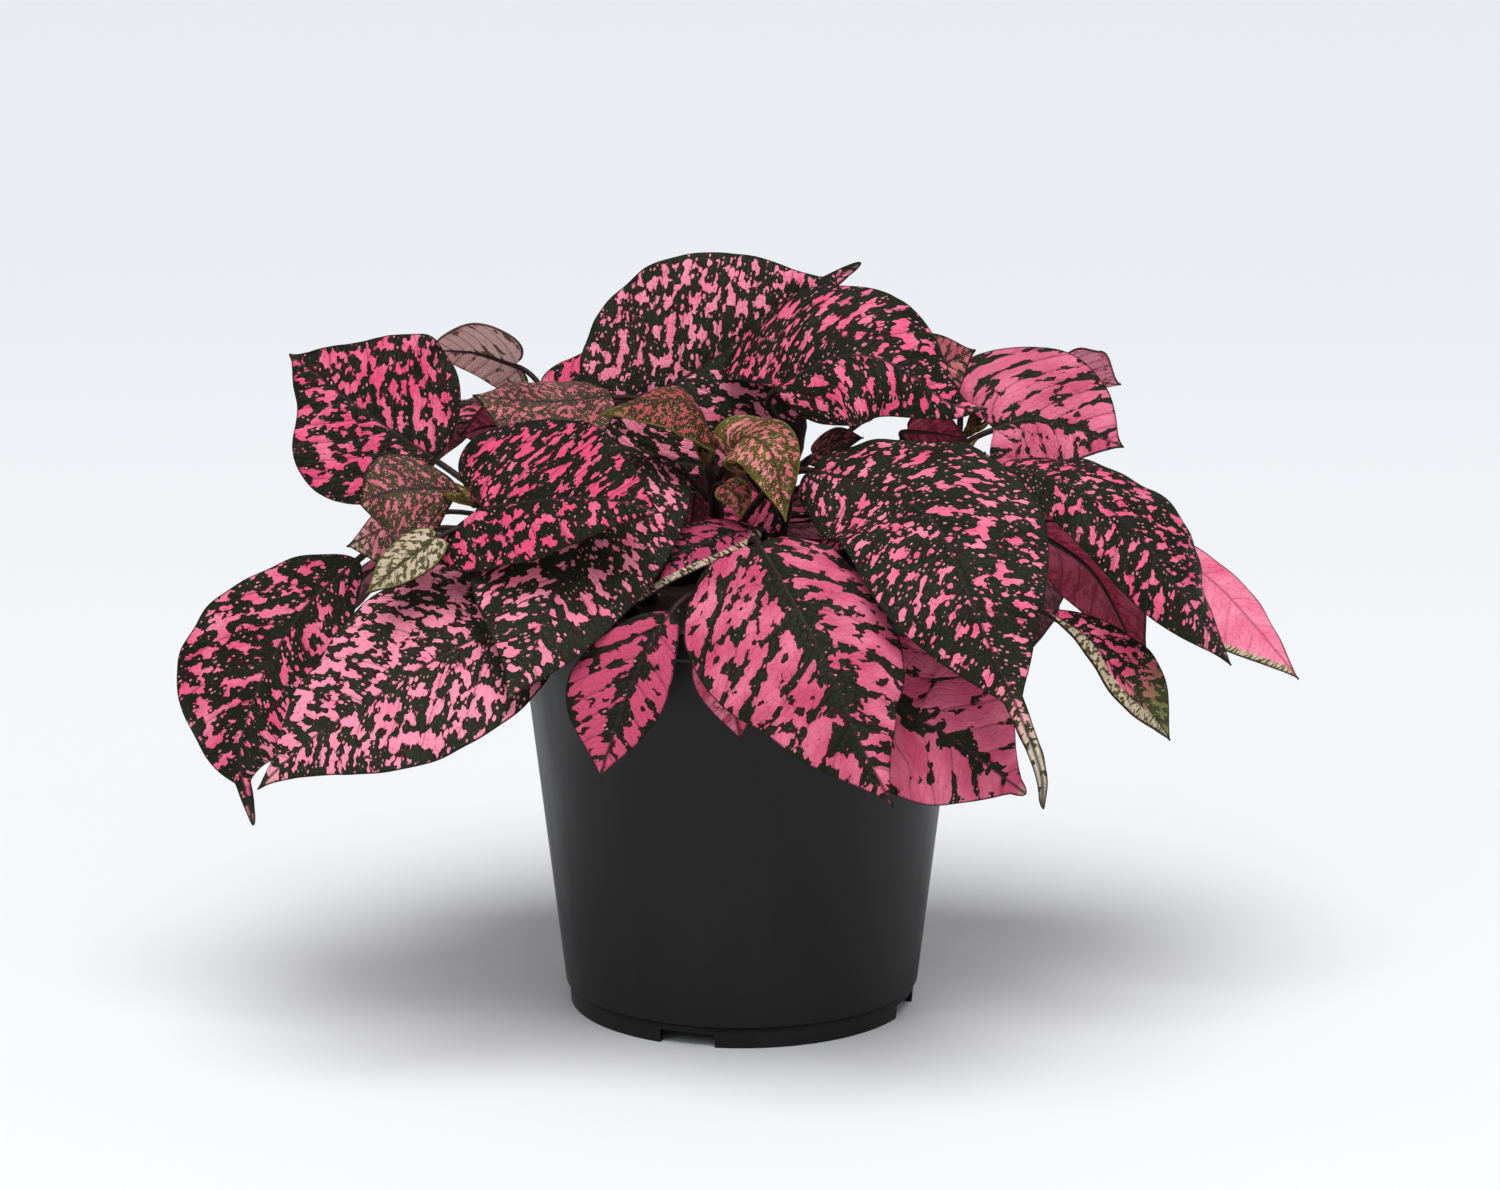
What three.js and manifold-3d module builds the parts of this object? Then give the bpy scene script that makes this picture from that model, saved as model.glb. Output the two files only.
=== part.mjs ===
// Potted polka dot plant: a tapered plastic nursery pot filled with potting mix, from which
// branching stems rise, each with broad spotted leaves that arch out and hang over the rim.
// Millimetres, +Z up. The origin is on the pot's axis, on the surface that the pot stands on;
// -Y is the front of the plant.

import * as THREE from "three";
import { mergeVertices } from "three/addons/utils/BufferGeometryUtils.js";
import Module from "manifold-3d";

// Pot sizes
const POT_HEIGHT = 104;
const FOOT_RADIUS = 42;
const FOOT_HEIGHT = 4.6;
const WALL_FOOT_RADIUS = 43;
const WALL_TOP_RADIUS = 54.6;
const WALL_THICKNESS = 1.4;
const LINE_HEIGHT = 78;
const LINE_STEP = 0.25;
const RIM_HEIGHT = 7.5;
const RIM_RADIUS = 56.4;
const RIM_EDGE = 1;
const FLOOR_THICKNESS = 1.6;
const FLOOR_CORNER = 1.5;
const NOTCH_COUNT = 4;
const NOTCH_WIDTH = 13.6;
const NOTCH_DEPTH = 3.4;
const NOTCH_TURN = -18;
const DRAIN_COUNT = 8;
const DRAIN_RADIUS = 3;
const DRAIN_CIRCLE = 31;
const POT_SEGMENTS = 36;

// Soil sizes
const SOIL_HEIGHT = 93;
const SOIL_ROUGHNESS = 1.3;
const SOIL_SEGMENTS = 24;
const SOIL_RINGS = 4;
const SEAT_GAP = 0.3;

// Stem and petiole sizes
const STEM_FOOT = 66;
const STEM_SIDES = 6;
const STEM_STEPS = 6;
const BUD_SCALE_LENGTH = 6.5;
const BUD_SCALE_WIDTH = 1.5;
const PETIOLE_RADIUS = 0.85;
const PETIOLE_SIDES = 4;
const PETIOLE_STEPS = 3;
const PETIOLE_BEND = 0.4;

// Edges shorter than this are closed up.
const SLIVER = 0.01;

// Blade sizes
const BLADE_THICKNESS = 0.8;
const BLADE_ROWS = 8;
const BLADE_COLUMNS = 4;
const SMALL_BLADE_ROWS = 5;
const SMALL_BLADE_WIDTH = 28;
const BLADE_END = 0.7;
const WIDEST = 0.38;
const MIDRIB_DEPTH = 1;
const NOTCH_REACH = 0.09;

// Each stem runs from below the soil's surface to its shoot tip: points and radii from foot to tip.
const STEMS = {
  center: { points: [[-2, -4], [-4, -6, 100], [-6, -12, 124], [-8, -20, 137]], radii: [2.2, 1.4] },
  crown: { points: [[8, 6], [8, 8, 100], [11, 9, 124], [15, 10, 143]], radii: [2.2, 1.4] },
  left: { points: [[-18, -12], [-26, -16, 100], [-46, -24, 118], [-62, -30, 129]], radii: [2.1, 1.3] },
  back_left: { points: [[-16, 16], [-24, 22, 100], [-40, 28, 124], [-52, 33, 142]], radii: [2.1, 1.3] },
  right: { points: [[18, -12], [24, -14, 98], [38, -12, 118], [52, -4, 132]], radii: [2.1, 1.3] },
  back_right: { points: [[20, 16], [26, 20, 98], [42, 26, 120], [56, 32, 135]], radii: [2.1, 1.3] },
  front: { points: [[2, -26], [3, -29, 98], [5, -31, 105], [6, -31, 110]], radii: [1.9, 1.2] },
  front_left: { points: [[-22, -26], [-28, -30, 97], [-36, -34, 108], [-42, -36, 113]], radii: [1.9, 1.2] },
  back: { points: [[2, 30], [2, 36, 98], [-2, 45, 116], [-5, 50, 134]], radii: [2.1, 1.3] },
};

// Each leaf: the stem it grows from and how far along it, the way its upper face looks, where
// along the blade it is widest, the share of the blade that is drawn out into a narrow end and
// that end's half width, the notch in one margin (its side, place and depth as shares of the blade),
// the midrib's points from the blade's base to its tip, and for each half: its width, how far its
// lobe sweeps back at the base, and its slopes at the midrib and at the margin, in degrees above
// the face's plane.
const LEAVES = [
  {
    name: "crown_back", stem: "back_left", at: 0.55, tail: [0.1, 5.5], widest: 0.5, face: [-0.2, -0.9, 0.35],
    rib: [[-34, 23.5, 143], [-15, 22.7, 149.5], [8, 22.7, 165], [29, 25.5, 178]],
    left: [29.5, 24, 10, -12], right: [27, 14, 0, -15],
  },
  {
    name: "crown_front", stem: "crown", at: 0.93, widest: 0.29, face: [0.1, -0.5, 0.85],
    rib: [[8, -2.6, 151.6], [22, -9, 160], [35, -12, 159], [49, -13, 149.5], [58, -12, 148]],
    left: [25, 31, 22, -8], right: [20, -8, -10, -40],
  },
  {
    name: "right_back_upper", stem: "back_right", at: 0.82, widest: 0.32, face: [0, -0.5, 0.85],
    rib: [[62, 26, 137], [71, 28, 139], [82, 24, 137], [93, 16, 134]],
    left: [22, 12, 20, 10], right: [22, 12, 0, -30],
  },
  {
    name: "right_back_under", stem: "back_right", at: 0.92, face: [0.2, 0.7, 0.6],
    rib: [[68, 49, 141], [83, 61, 143.5], [97, 69, 141]],
    left: [17, 3, 10, -10], right: [17, 3, 10, -10],
  },
  {
    name: "right_top_small", stem: "crown", at: 0.8, face: [0, -0.8, 0.6],
    rib: [[40, 23, 147], [48, 23, 152.5], [57, 22, 157]],
    left: [11, 3, 10, -10], right: [11, 3, 10, -10],
  },
  {
    name: "right_mid", stem: "right", at: 0.9, widest: 0.53, face: [0.35, -0.55, 0.75],
    rib: [[63, 6, 131], [79, -4, 128], [93, -12, 119], [104, -16, 105], [117, -12, 86]],
    left: [18, 16, 5, -20], right: [13.5, 10, 0, -45],
  },
  {
    name: "front_right", stem: "center", at: 0.62, widest: 0.55, tail: [0.2, 4.6], face: [-0.1, -0.75, 0.65],
    rib: [[17, -20, 135], [31, -34, 133], [44, -50, 128], [53, -68, 110], [66, -76, 80], [68, -73, 67]],
    left: [23, 20, 5, -12], right: [22, 27, 16, -18],
  },
  {
    name: "front_center", stem: "front", at: 0.82, face: [-0.25, -0.85, 0.45],
    rib: [[4, -46.5, 122.5], [12.5, -62, 111], [21, -74, 97], [26, -80, 85], [34, -84, 70]],
    left: [20.5, 4, -8, -55], right: [27, 9, 14, 0],
  },
  {
    name: "front_right_low", stem: "front", at: 0.85, tail: [0, 9], widest: 0.5, face: [0.1, -0.9, 0.4],
    rib: [[30, -56, 103], [37, -61, 87], [46, -63, 82], [65, -60, 67]],
    left: [20, 3, 8, -12], right: [18, 3, 8, -12],
  },
  {
    name: "front_left_small", stem: "front", at: 0.76, widest: 0.52, face: [-0.1, -0.9, 0.4],
    rib: [[-16, -55.5, 108.5], [-21, -59.5, 101.5], [-27, -63, 88], [-32, -66.5, 72.3]],
    left: [9, 6, 8, -10], right: [14, -2, 12, -10],
  },
  {
    name: "under_center", stem: "front", at: 0.62, face: [-0.2, -0.9, 0.4],
    rib: [[-6, -60.5, 102.5], [-2.5, -63, 92], [0, -62.5, 80]],
    left: [7.5, 3, 12, -10], right: [7.5, 3, 12, -10],
  },
  {
    name: "left_front_low", stem: "front_left", at: 0.9, face: [-0.3, -0.75, 0.6],
    rib: [[-50, -42, 105], [-67, -50, 98], [-84, -54, 88], [-98, -56, 79], [-111, -56, 67]],
    left: [24, 10, 10, -15], right: [25.5, 30, 10, -15],
  },
  {
    name: "left_outer", stem: "left", at: 0.7, widest: 0.58, tail: [0.12, 5], face: [-0.2, -0.85, 0.45],
    rib: [[-92, -8, 111], [-105, -12, 99], [-115, -15, 82], [-120, -16, 65], [-117.5, -14, 47]],
    left: [19, 13, 10, -15], right: [23.5, 6, 5, -15],
  },
  {
    name: "front_left_mid", stem: "center", at: 0.8, widest: 0.48, face: [-0.1, -0.8, 0.6],
    rib: [[-22, -17, 137], [-30, -31, 131], [-40, -48, 117], [-47, -61, 101], [-53, -66, 90]],
    left: [20, 24, 5, -15], right: [24.5, 16, 8, -15],
  },
  {
    name: "left_mid_over", stem: "left", at: 0.9, face: [0.1, -0.5, 0.85],
    rib: [[-60, -36, 129], [-46, -43, 132], [-32, -52, 134], [-18, -58, 132]],
    left: [23, 24, 25, 20], right: [19, 24, -5, -35],
  },
  {
    name: "left_young", stem: "left", at: 0.88, widest: 0.6, face: [-0.1, -0.6, 0.8],
    rib: [[-66, -28, 132], [-74, -31, 132.5], [-82, -33, 132], [-88.5, -34, 129.5]],
    left: [22, -2, -15, -58], right: [11, 3, 20, 0],
  },
  {
    name: "left_tip_pale", stem: "left", at: 0.66, face: [-0.1, -0.5, 0.85],
    rib: [[-70, -41, 123], [-78, -45, 117.5], [-86, -48, 111]],
    left: [7, 3, 10, -10], right: [7, 3, 10, -10],
  },
  {
    name: "top_left", stem: "left", at: 0.85, widest: 0.42, notch: [-1, 0.78, 0.22], face: [0.1, -0.85, 0.5],
    rib: [[-73, -6, 135], [-84, -4, 142], [-93, -2, 148], [-108, 2, 159]],
    left: [23, 3, 8, -10], right: [25, 3, 8, -10],
  },
  {
    name: "top_left_under", stem: "back_left", at: 0.85, face: [-0.1, 0.75, 0.65],
    rib: [[-56, 38, 151], [-67, 42, 153.5], [-79, 45, 153.5]],
    left: [12, 8, 10, -10], right: [12, 8, 10, -10],
  },
  {
    name: "left_mid_top", stem: "crown", at: 0.66, widest: 0.5, face: [0.1, -0.4, 0.9],
    rib: [[-31, 2, 149], [-48, -2, 148], [-64, -4, 150]],
    left: [19, 3, 0, -25], right: [14, 3, 5, -30],
  },
  {
    name: "young_left", stem: "center", at: 0.9, face: [0, -0.25, 1],
    rib: [[-7, -19, 141], [-9, -22, 148], [-15, -24, 152], [-24, -24, 151.5], [-33, -21, 148]],
    left: [9, 4, -20, -50], right: [9, 4, 10, -20],
  },
  {
    name: "young_right", stem: "center", at: 0.85, face: [0.2, -0.8, 0.6],
    rib: [[-3, -22, 138], [1, -28, 144], [7, -34, 141], [10.3, -38, 126]],
    left: [8, 3, 10, -15], right: [9, 3, 10, -15],
  },
  {
    name: "young_center", stem: "center", at: 0.7, face: [0, -0.8, 0.6],
    rib: [[-4, -24, 132], [-1, -28, 130], [0, -29, 125]],
    left: [4, 2, 10, -10], right: [4, 2, 10, -10],
  },
  {
    name: "beige_edge", stem: "center", at: 0.55, face: [-0.3, -0.5, 0.8],
    rib: [[3, -26, 122], [-6, -34, 121], [-17, -42, 117], [-30, -48, 104.5]],
    left: [7, 3, 0, -20], right: [9, 3, 10, 0],
  },
  {
    name: "right_under", stem: "right", at: 0.75, face: [0.6, 0.55, 0.5],
    rib: [[70, 2, 117], [84, 4, 107], [92, 5, 94], [98, 4, 79]],
    left: [19, 3, 10, -10], right: [15, 3, 10, -10],
  },
  {
    name: "right_low_tail", stem: "right", at: 0.65, widest: 0.64, face: [0.2, -0.3, 0.95],
    rib: [[72, -13, 100], [82, -17, 94], [89, -19, 86], [96, -20, 78], [102, -20, 69.5]],
    left: [13, 8, 10, 20], right: [8.5, 3, 10, -10],
  },
  {
    name: "right_outer", stem: "back_right", at: 0.7, widest: 0.55, face: [0.35, -0.85, 0.4],
    rib: [[92, 26, 115], [114, 22, 101], [125, 16, 90.5], [136, 7, 78]],
    left: [6, 3, 5, -20], right: [14, 3, 10, -10],
  },
  {
    name: "right_gap_under", stem: "right", at: 0.97, face: [0, 0.75, 0.65],
    rib: [[40, 6, 140], [47, 8, 139], [54, 9, 137.5]],
    left: [8, 3, 10, -10], right: [8, 3, 10, -10],
  },
  {
    name: "gap_brown", stem: "crown", at: 0.6, face: [0, -0.5, 0.85],
    rib: [[17, -4, 136], [23, -7, 139.5], [29, -8, 140.5]],
    left: [6, 3, 10, -10], right: [6, 3, 10, -10],
  },
  {
    name: "left_behind_crown", stem: "back_left", at: 0.96, face: [0, -0.7, 0.7],
    rib: [[-47, 37, 143.5], [-38, 41, 146], [-26, 45, 149], [-12, 47, 148]],
    left: [9, 6, 10, -10], right: [9, 6, 10, -10],
  },
  {
    name: "left_tip_green", stem: "left", at: 0.75, face: [-0.1, -0.6, 0.8],
    rib: [[-75, -19, 124], [-84, -20, 121], [-93, -20, 116.5]],
    left: [13, 3, -10, -50], right: [6, 3, 10, -10],
  },
  {
    name: "back_right_low", stem: "back_right", at: 0.4, face: [0.5, 0.5, 0.7],
    rib: [[45, 37, 108], [61, 53, 103], [71, 66, 87], [74, 73, 66]],
    left: [22, 3, 10, -20], right: [22, 3, 10, -20],
  },
  {
    name: "back_center_low", stem: "back", at: 0.5, face: [0, 0.7, 0.7],
    rib: [[6, 50, 108], [10, 66, 105], [13, 78, 89], [15, 83, 67]],
    left: [24, 3, 10, -20], right: [24, 3, 10, -20],
  },
  {
    name: "back_left_low", stem: "back_left", at: 0.42, face: [-0.5, 0.5, 0.7],
    rib: [[-44, 38, 108], [-61, 53, 103], [-73, 65, 86], [-80, 72, 64]],
    left: [22, 3, 10, -20], right: [22, 3, 10, -20],
  },
  {
    name: "back_right_mid", stem: "back_right", at: 0.75, face: [0.4, 0.3, 0.85],
    rib: [[66, 42, 121], [81, 53, 124], [94, 62, 114], [102, 68, 98]],
    left: [19, 3, 10, -20], right: [19, 3, 10, -20],
  },
  {
    name: "back_center_top", stem: "back", at: 0.85, face: [0, 0.5, 0.85],
    rib: [[-6, 57, 126], [-9, 69, 126], [-12, 79, 114], [-14, 84, 95]],
    left: [22, 3, 10, -20], right: [22, 3, 10, -20],
  },
  {
    name: "back_left_top", stem: "back_left", at: 0.9, face: [-0.4, 0.3, 0.85],
    rib: [[-56, 42, 138], [-70, 54, 139], [-82, 64, 127], [-90, 71, 107]],
    left: [21, 3, 10, -20], right: [21, 3, 10, -20],
  },
  {
    name: "back_right_side", stem: "back_right", at: 0.55, face: [0.6, 0.2, 0.75],
    rib: [[64, 30, 114], [82, 38, 114], [98, 45, 104], [107, 48, 86]],
    left: [18, 3, 10, -20], right: [18, 3, 10, -20],
  },
  {
    name: "back_left_side", stem: "back_left", at: 0.55, face: [-0.6, 0.2, 0.75],
    rib: [[-60, 14, 112], [-83.5, 20.5, 108], [-99.5, 27.5, 93], [-108.5, 32.5, 71]],
    left: [24, 3, 10, -20], right: [20, 3, 10, -20],
  },
  {
    name: "crown_rear", stem: "back", at: 0.85, face: [0, 0.3, 0.95],
    rib: [[-4, 50, 146], [-2, 60, 152], [0, 70, 150], [1, 80, 138]],
    left: [20, 3, 10, -20], right: [20, 3, 10, -20],
  },
  {
    name: "crown_rear_left", stem: "back", at: 0.82, face: [-0.2, 0.3, 0.9],
    rib: [[-14, 54, 140], [-26, 62, 143], [-36, 71, 136], [-42, 78, 122]],
    left: [17, 3, 10, -20], right: [17, 3, 10, -20],
  },
  {
    name: "crown_rear_right", stem: "back_right", at: 0.95, face: [0, 0.1, 1],
    rib: [[51, 38, 145], [41, 43, 149], [29, 46, 150], [16, 46, 146]],
    left: [13, 3, 10, -20], right: [13, 3, 10, -20],
  },
  {
    name: "back_mid_left", stem: "back", at: 0.7, face: [-0.2, 0.6, 0.75],
    rib: [[-18, 50, 120], [-30, 60, 120], [-38, 71, 108], [-42, 78, 88]],
    left: [18, 3, 10, -20], right: [18, 3, 10, -20],
  },
  {
    name: "back_mid_right", stem: "back", at: 0.7, face: [0.2, 0.6, 0.75],
    rib: [[12, 50, 117], [23, 60, 117], [30, 72, 107], [34, 79, 88]],
    left: [17, 3, 10, -20], right: [17, 3, 10, -20],
  },
  {
    name: "inner_left", stem: "center", at: 0.6, face: [-0.1, -0.1, 1],
    rib: [[-16, 2, 112], [-28, 6, 116], [-40, 8, 115], [-50, 8, 107]],
    left: [16, 3, 10, -20], right: [16, 3, 10, -20],
  },
  {
    name: "inner_right", stem: "crown", at: 0.6, face: [0.1, 0, 1],
    rib: [[20, 4, 112], [32, 5, 117], [43, 5, 116], [52, 4, 109]],
    left: [14, 3, 10, -20], right: [14, 3, 10, -20],
  },
  {
    name: "inner_front", stem: "crown", at: 0.5, face: [0.1, -0.9, 0.3],
    rib: [[4.5, 2, 112], [1.5, 1, 118], [-1, 1.5, 124], [-3, 2.5, 129]],
    left: [9, 3, 10, -15], right: [8, 3, 10, -15],
  },
  {
    name: "left_gap_under", stem: "back_left", at: 0.76, face: [-0.1, 0.75, 0.65],
    rib: [[-52, 8, 139], [-60, 7, 141], [-68, 4, 139]],
    left: [10, 3, 10, -10], right: [10, 3, 10, -10],
  },
  {
    name: "inner_back", stem: "back", at: 0.6, face: [0.1, -0.1, 1],
    rib: [[8, 30, 114], [17, 27, 119], [27, 28, 119], [36, 32, 112]],
    left: [11, 3, 10, -20], right: [11, 3, 10, -20],
  },
];

const wasm = await Module();
wasm.setup();

const FINISHES = {
  pot: new THREE.MeshStandardMaterial({ color: 0x16181a, roughness: 0.45, metalness: 0 }),
  soil: new THREE.MeshStandardMaterial({ color: 0x2b1d14, roughness: 0.95, metalness: 0 }),
  stem: new THREE.MeshStandardMaterial({ color: 0x3a2024, roughness: 0.6, metalness: 0 }),
  leaf: new THREE.MeshStandardMaterial({ color: 0xc94f78, roughness: 0.55, metalness: 0 }),
};

// A closed geometry as a solid that can be joined and cut.
function solidOf(geometry) {
  const bare = new THREE.BufferGeometry().setAttribute("position", geometry.getAttribute("position"));
  bare.setIndex(geometry.index);
  const merged = mergeVertices(bare, 1e-4);
  const mesh = new wasm.Mesh({
    numProp: 3,
    vertProperties: new Float32Array(merged.attributes.position.array),
    triVerts: new Uint32Array(merged.index.array),
  });
  return new wasm.Manifold(mesh);
}

// The solid as a named mesh, without the slivers that cutting leaves.
function meshOf(name, solid, finish) {
  const { vertProperties, triVerts } = solid.simplify(SLIVER).getMesh();
  const geometry = new THREE.BufferGeometry();
  geometry.setAttribute("position", new THREE.BufferAttribute(vertProperties, 3));
  geometry.setIndex(new THREE.BufferAttribute(triVerts, 1));
  geometry.computeVertexNormals();
  const mesh = new THREE.Mesh(geometry, finish);
  mesh.name = name;
  return mesh;
}

// A turned shape about Z from [radius, height] pairs.
function turned(profile, segments) {
  const points = profile.map(([radius, height]) => new THREE.Vector2(radius, height));
  return new THREE.LatheGeometry(points, segments).rotateX(Math.PI / 2);
}

// A closed grid of vertices: rings of equal size, one after the other, with a cap at each end.
function closedTube(rings) {
  const sides = rings[0].length;
  const positions = rings.flat().flatMap((point) => point.toArray());
  const faces = [];
  for (let ring = 0; ring < rings.length - 1; ring++) {
    for (let side = 0; side < sides; side++) {
      const next = (side + 1) % sides;
      const a = ring * sides + side;
      const b = ring * sides + next;
      faces.push(a, b, b + sides, a, b + sides, a + sides);
    }
  }
  const last = (rings.length - 1) * sides;
  for (let side = 1; side < sides - 1; side++) {
    faces.push(0, side + 1, side);
    faces.push(last, last + side, last + side + 1);
  }
  const geometry = new THREE.BufferGeometry();
  geometry.setAttribute("position", new THREE.Float32BufferAttribute(positions, 3));
  geometry.setIndex(faces);
  return geometry;
}

// A round rod along a list of points, with its radius at each point.
function taperedRod(points, radii, sides) {
  const rings = [];
  let across = new THREE.Vector3(1, 0.3, 0.2);
  points.forEach((point, i) => {
    const ahead = points[Math.min(i + 1, points.length - 1)];
    const behind = points[Math.max(i - 1, 0)];
    const along = ahead.clone().sub(behind).normalize();
    across = across.clone().addScaledVector(along, -across.dot(along)).normalize();
    const third = along.clone().cross(across);
    const ring = [];
    for (let side = 0; side < sides; side++) {
      const angle = (side / sides) * 2 * Math.PI;
      ring.push(
        point
          .clone()
          .addScaledVector(across, radii[i] * Math.cos(angle))
          .addScaledVector(third, radii[i] * Math.sin(angle)),
      );
    }
    rings.push(ring);
  });
  return closedTube(rings);
}

const curveThrough = (points) => new THREE.CatmullRomCurve3(points, false, "catmullrom", 0.5);
const mix = (a, b, t) => a + (b - a) * t;
const wallRadius = (height) => mix(WALL_FOOT_RADIUS, WALL_TOP_RADIUS, height / POT_HEIGHT);

// The pot: one turned shell with a rim band and a foot ring, notched and drilled for drainage.
function potSolid() {
  const lineRadius = wallRadius(LINE_HEIGHT);
  const bandFoot = POT_HEIGHT - RIM_HEIGHT;
  const floorTop = FOOT_HEIGHT + FLOOR_THICKNESS;
  const floorRadius = wallRadius(floorTop) - WALL_THICKNESS - FLOOR_CORNER;
  const profile = [
    [0, FOOT_HEIGHT],
    [FOOT_RADIUS - 2 * WALL_THICKNESS, FOOT_HEIGHT],
    [FOOT_RADIUS - WALL_THICKNESS, 0],
    [FOOT_RADIUS, 0],
    [FOOT_RADIUS + 0.3, FOOT_HEIGHT - 0.8],
    [FOOT_RADIUS - 0.1, FOOT_HEIGHT],
    [WALL_FOOT_RADIUS + 0.2, FOOT_HEIGHT + 0.9],
    [lineRadius, LINE_HEIGHT],
    [lineRadius + LINE_STEP, LINE_HEIGHT + 0.4],
    [wallRadius(bandFoot) + LINE_STEP, bandFoot],
    [RIM_RADIUS - RIM_EDGE / 2, bandFoot],
    [RIM_RADIUS, bandFoot + RIM_EDGE],
    [RIM_RADIUS, POT_HEIGHT - RIM_EDGE],
    [RIM_RADIUS - RIM_EDGE, POT_HEIGHT],
    [WALL_TOP_RADIUS - WALL_THICKNESS, POT_HEIGHT],
    [wallRadius(floorTop + FLOOR_CORNER) - WALL_THICKNESS, floorTop + FLOOR_CORNER],
    [floorRadius, floorTop],
    [0, floorTop],
  ];
  let pot = solidOf(turned(profile, POT_SEGMENTS));
  for (let i = 0; i < NOTCH_COUNT; i++) {
    const notch = new THREE.BoxGeometry(NOTCH_WIDTH, 12, 2 * NOTCH_DEPTH);
    notch.translate(0, -FOOT_RADIUS, 0);
    notch.rotateZ(THREE.MathUtils.degToRad(NOTCH_TURN + (i * 360) / NOTCH_COUNT));
    pot = pot.subtract(solidOf(notch));
  }
  for (let i = 0; i < DRAIN_COUNT; i++) {
    const drain = new THREE.CylinderGeometry(DRAIN_RADIUS, DRAIN_RADIUS, 12, 12);
    drain.rotateX(Math.PI / 2).translate(DRAIN_CIRCLE, 0, FOOT_HEIGHT);
    drain.rotateZ(THREE.MathUtils.degToRad(NOTCH_TURN + (i * 360) / DRAIN_COUNT));
    pot = pot.subtract(solidOf(drain));
  }
  return pot;
}

// The soil's low clods and hollows, in millimetres above or below its mean height.
function soilRelief(x, y) {
  const broad = Math.sin(x * 0.13 + 1.3) * Math.cos(y * 0.11 + 0.4);
  const fine = Math.sin(x * 0.41 + y * 0.23) * Math.sin(y * 0.37 - x * 0.19 + 2);
  return SOIL_ROUGHNESS * (0.6 * broad + 0.4 * fine);
}

// The soil: fills the pot from its floor, with an uneven top.
function soilSolid() {
  const foot = FOOT_HEIGHT + FLOOR_THICKNESS + SEAT_GAP;
  const wallAt = (height) => wallRadius(height) - WALL_THICKNESS - 2 * SEAT_GAP;
  const corner = 2 * FLOOR_CORNER;
  const topRadius = wallAt(SOIL_HEIGHT);
  const profile = [
    [0, foot],
    [wallAt(foot) - corner, foot],
    [wallAt(foot + corner), foot + corner],
    [topRadius, SOIL_HEIGHT],
  ];
  for (let ring = SOIL_RINGS - 1; ring >= 0; ring--) {
    profile.push([(topRadius * ring) / SOIL_RINGS, SOIL_HEIGHT]);
  }
  const geometry = turned(profile, SOIL_SEGMENTS);
  const position = geometry.getAttribute("position");
  for (let i = 0; i < position.count; i++) {
    const x = position.getX(i);
    const y = position.getY(i);
    const isTop = position.getZ(i) > SOIL_HEIGHT - 0.01;
    if (isTop && Math.hypot(x, y) < topRadius - 1) {
      position.setZ(i, SOIL_HEIGHT + soilRelief(x, y));
    }
  }
  return solidOf(geometry);
}

function stemCurve(stem) {
  return curveThrough(stem.points.map(([x, y, z = STEM_FOOT]) => new THREE.Vector3(x, y, z)));
}

// A stem as a tapering rod; clearance widens it for the hole that it stands in.
function stemRod(stem, clearance) {
  const points = stemCurve(stem).getSpacedPoints(STEM_STEPS);
  const radii = points.map((point, i) => mix(stem.radii[0], stem.radii[1], i / STEM_STEPS) + clearance);
  const reach = points[0].clone().sub(points[1]).setLength(clearance);
  points[0].add(reach);
  return solidOf(taperedRod(points, radii, STEM_SIDES));
}

// A stem with the small folded scales of its shoot tip.
function stemSolid(stem) {
  const curve = stemCurve(stem);
  const tip = curve.getPointAt(1);
  const along = curve.getTangentAt(1);
  let solid = stemRod(stem, 0);
  for (let i = 0; i < 3; i++) {
    const scale = new THREE.SphereGeometry(1, 5, 3);
    scale.scale(BUD_SCALE_WIDTH, BUD_SCALE_WIDTH * 0.7, BUD_SCALE_LENGTH / 2);
    scale.translate(0, 0.5, BUD_SCALE_LENGTH * 0.3);
    scale.rotateX(-0.25).rotateZ((i * 2 * Math.PI) / 3);
    scale.applyQuaternion(new THREE.Quaternion().setFromUnitVectors(new THREE.Vector3(0, 0, 1), along));
    scale.translate(tip.x, tip.y, tip.z);
    solid = solid.add(solidOf(scale));
  }
  return solid;
}

// Half the blade's width at u, from 0 at its base to 1 at its tip, as a share of the widest.
function ovate(u, widest) {
  const swell = Math.log(0.5) / Math.log(widest);
  return Math.sin(Math.PI * u ** swell) ** (0.6 + 0.7 * u);
}

// A point of one half of the blade's cross-section: how far across and how far up.
function bentAcross(halfWidth, [start, end], v) {
  const first = THREE.MathUtils.degToRad(start);
  const turn = THREE.MathUtils.degToRad(end - start) || 1e-6;
  const angle = first + turn * v;
  return {
    across: (halfWidth * (Math.sin(angle) - Math.sin(first))) / turn,
    up: (halfWidth * (Math.cos(first) - Math.cos(angle))) / turn,
  };
}

// The midrib's point and its three directions at u: along, to the right, and out of the upper face.
function ribFrame(leaf, curve, u) {
  const along = curve.getTangentAt(u);
  const right = along.clone().cross(new THREE.Vector3(...leaf.face)).normalize();
  const up = right.clone().cross(along);
  return { point: curve.getPointAt(u), along, right, up };
}

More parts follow.
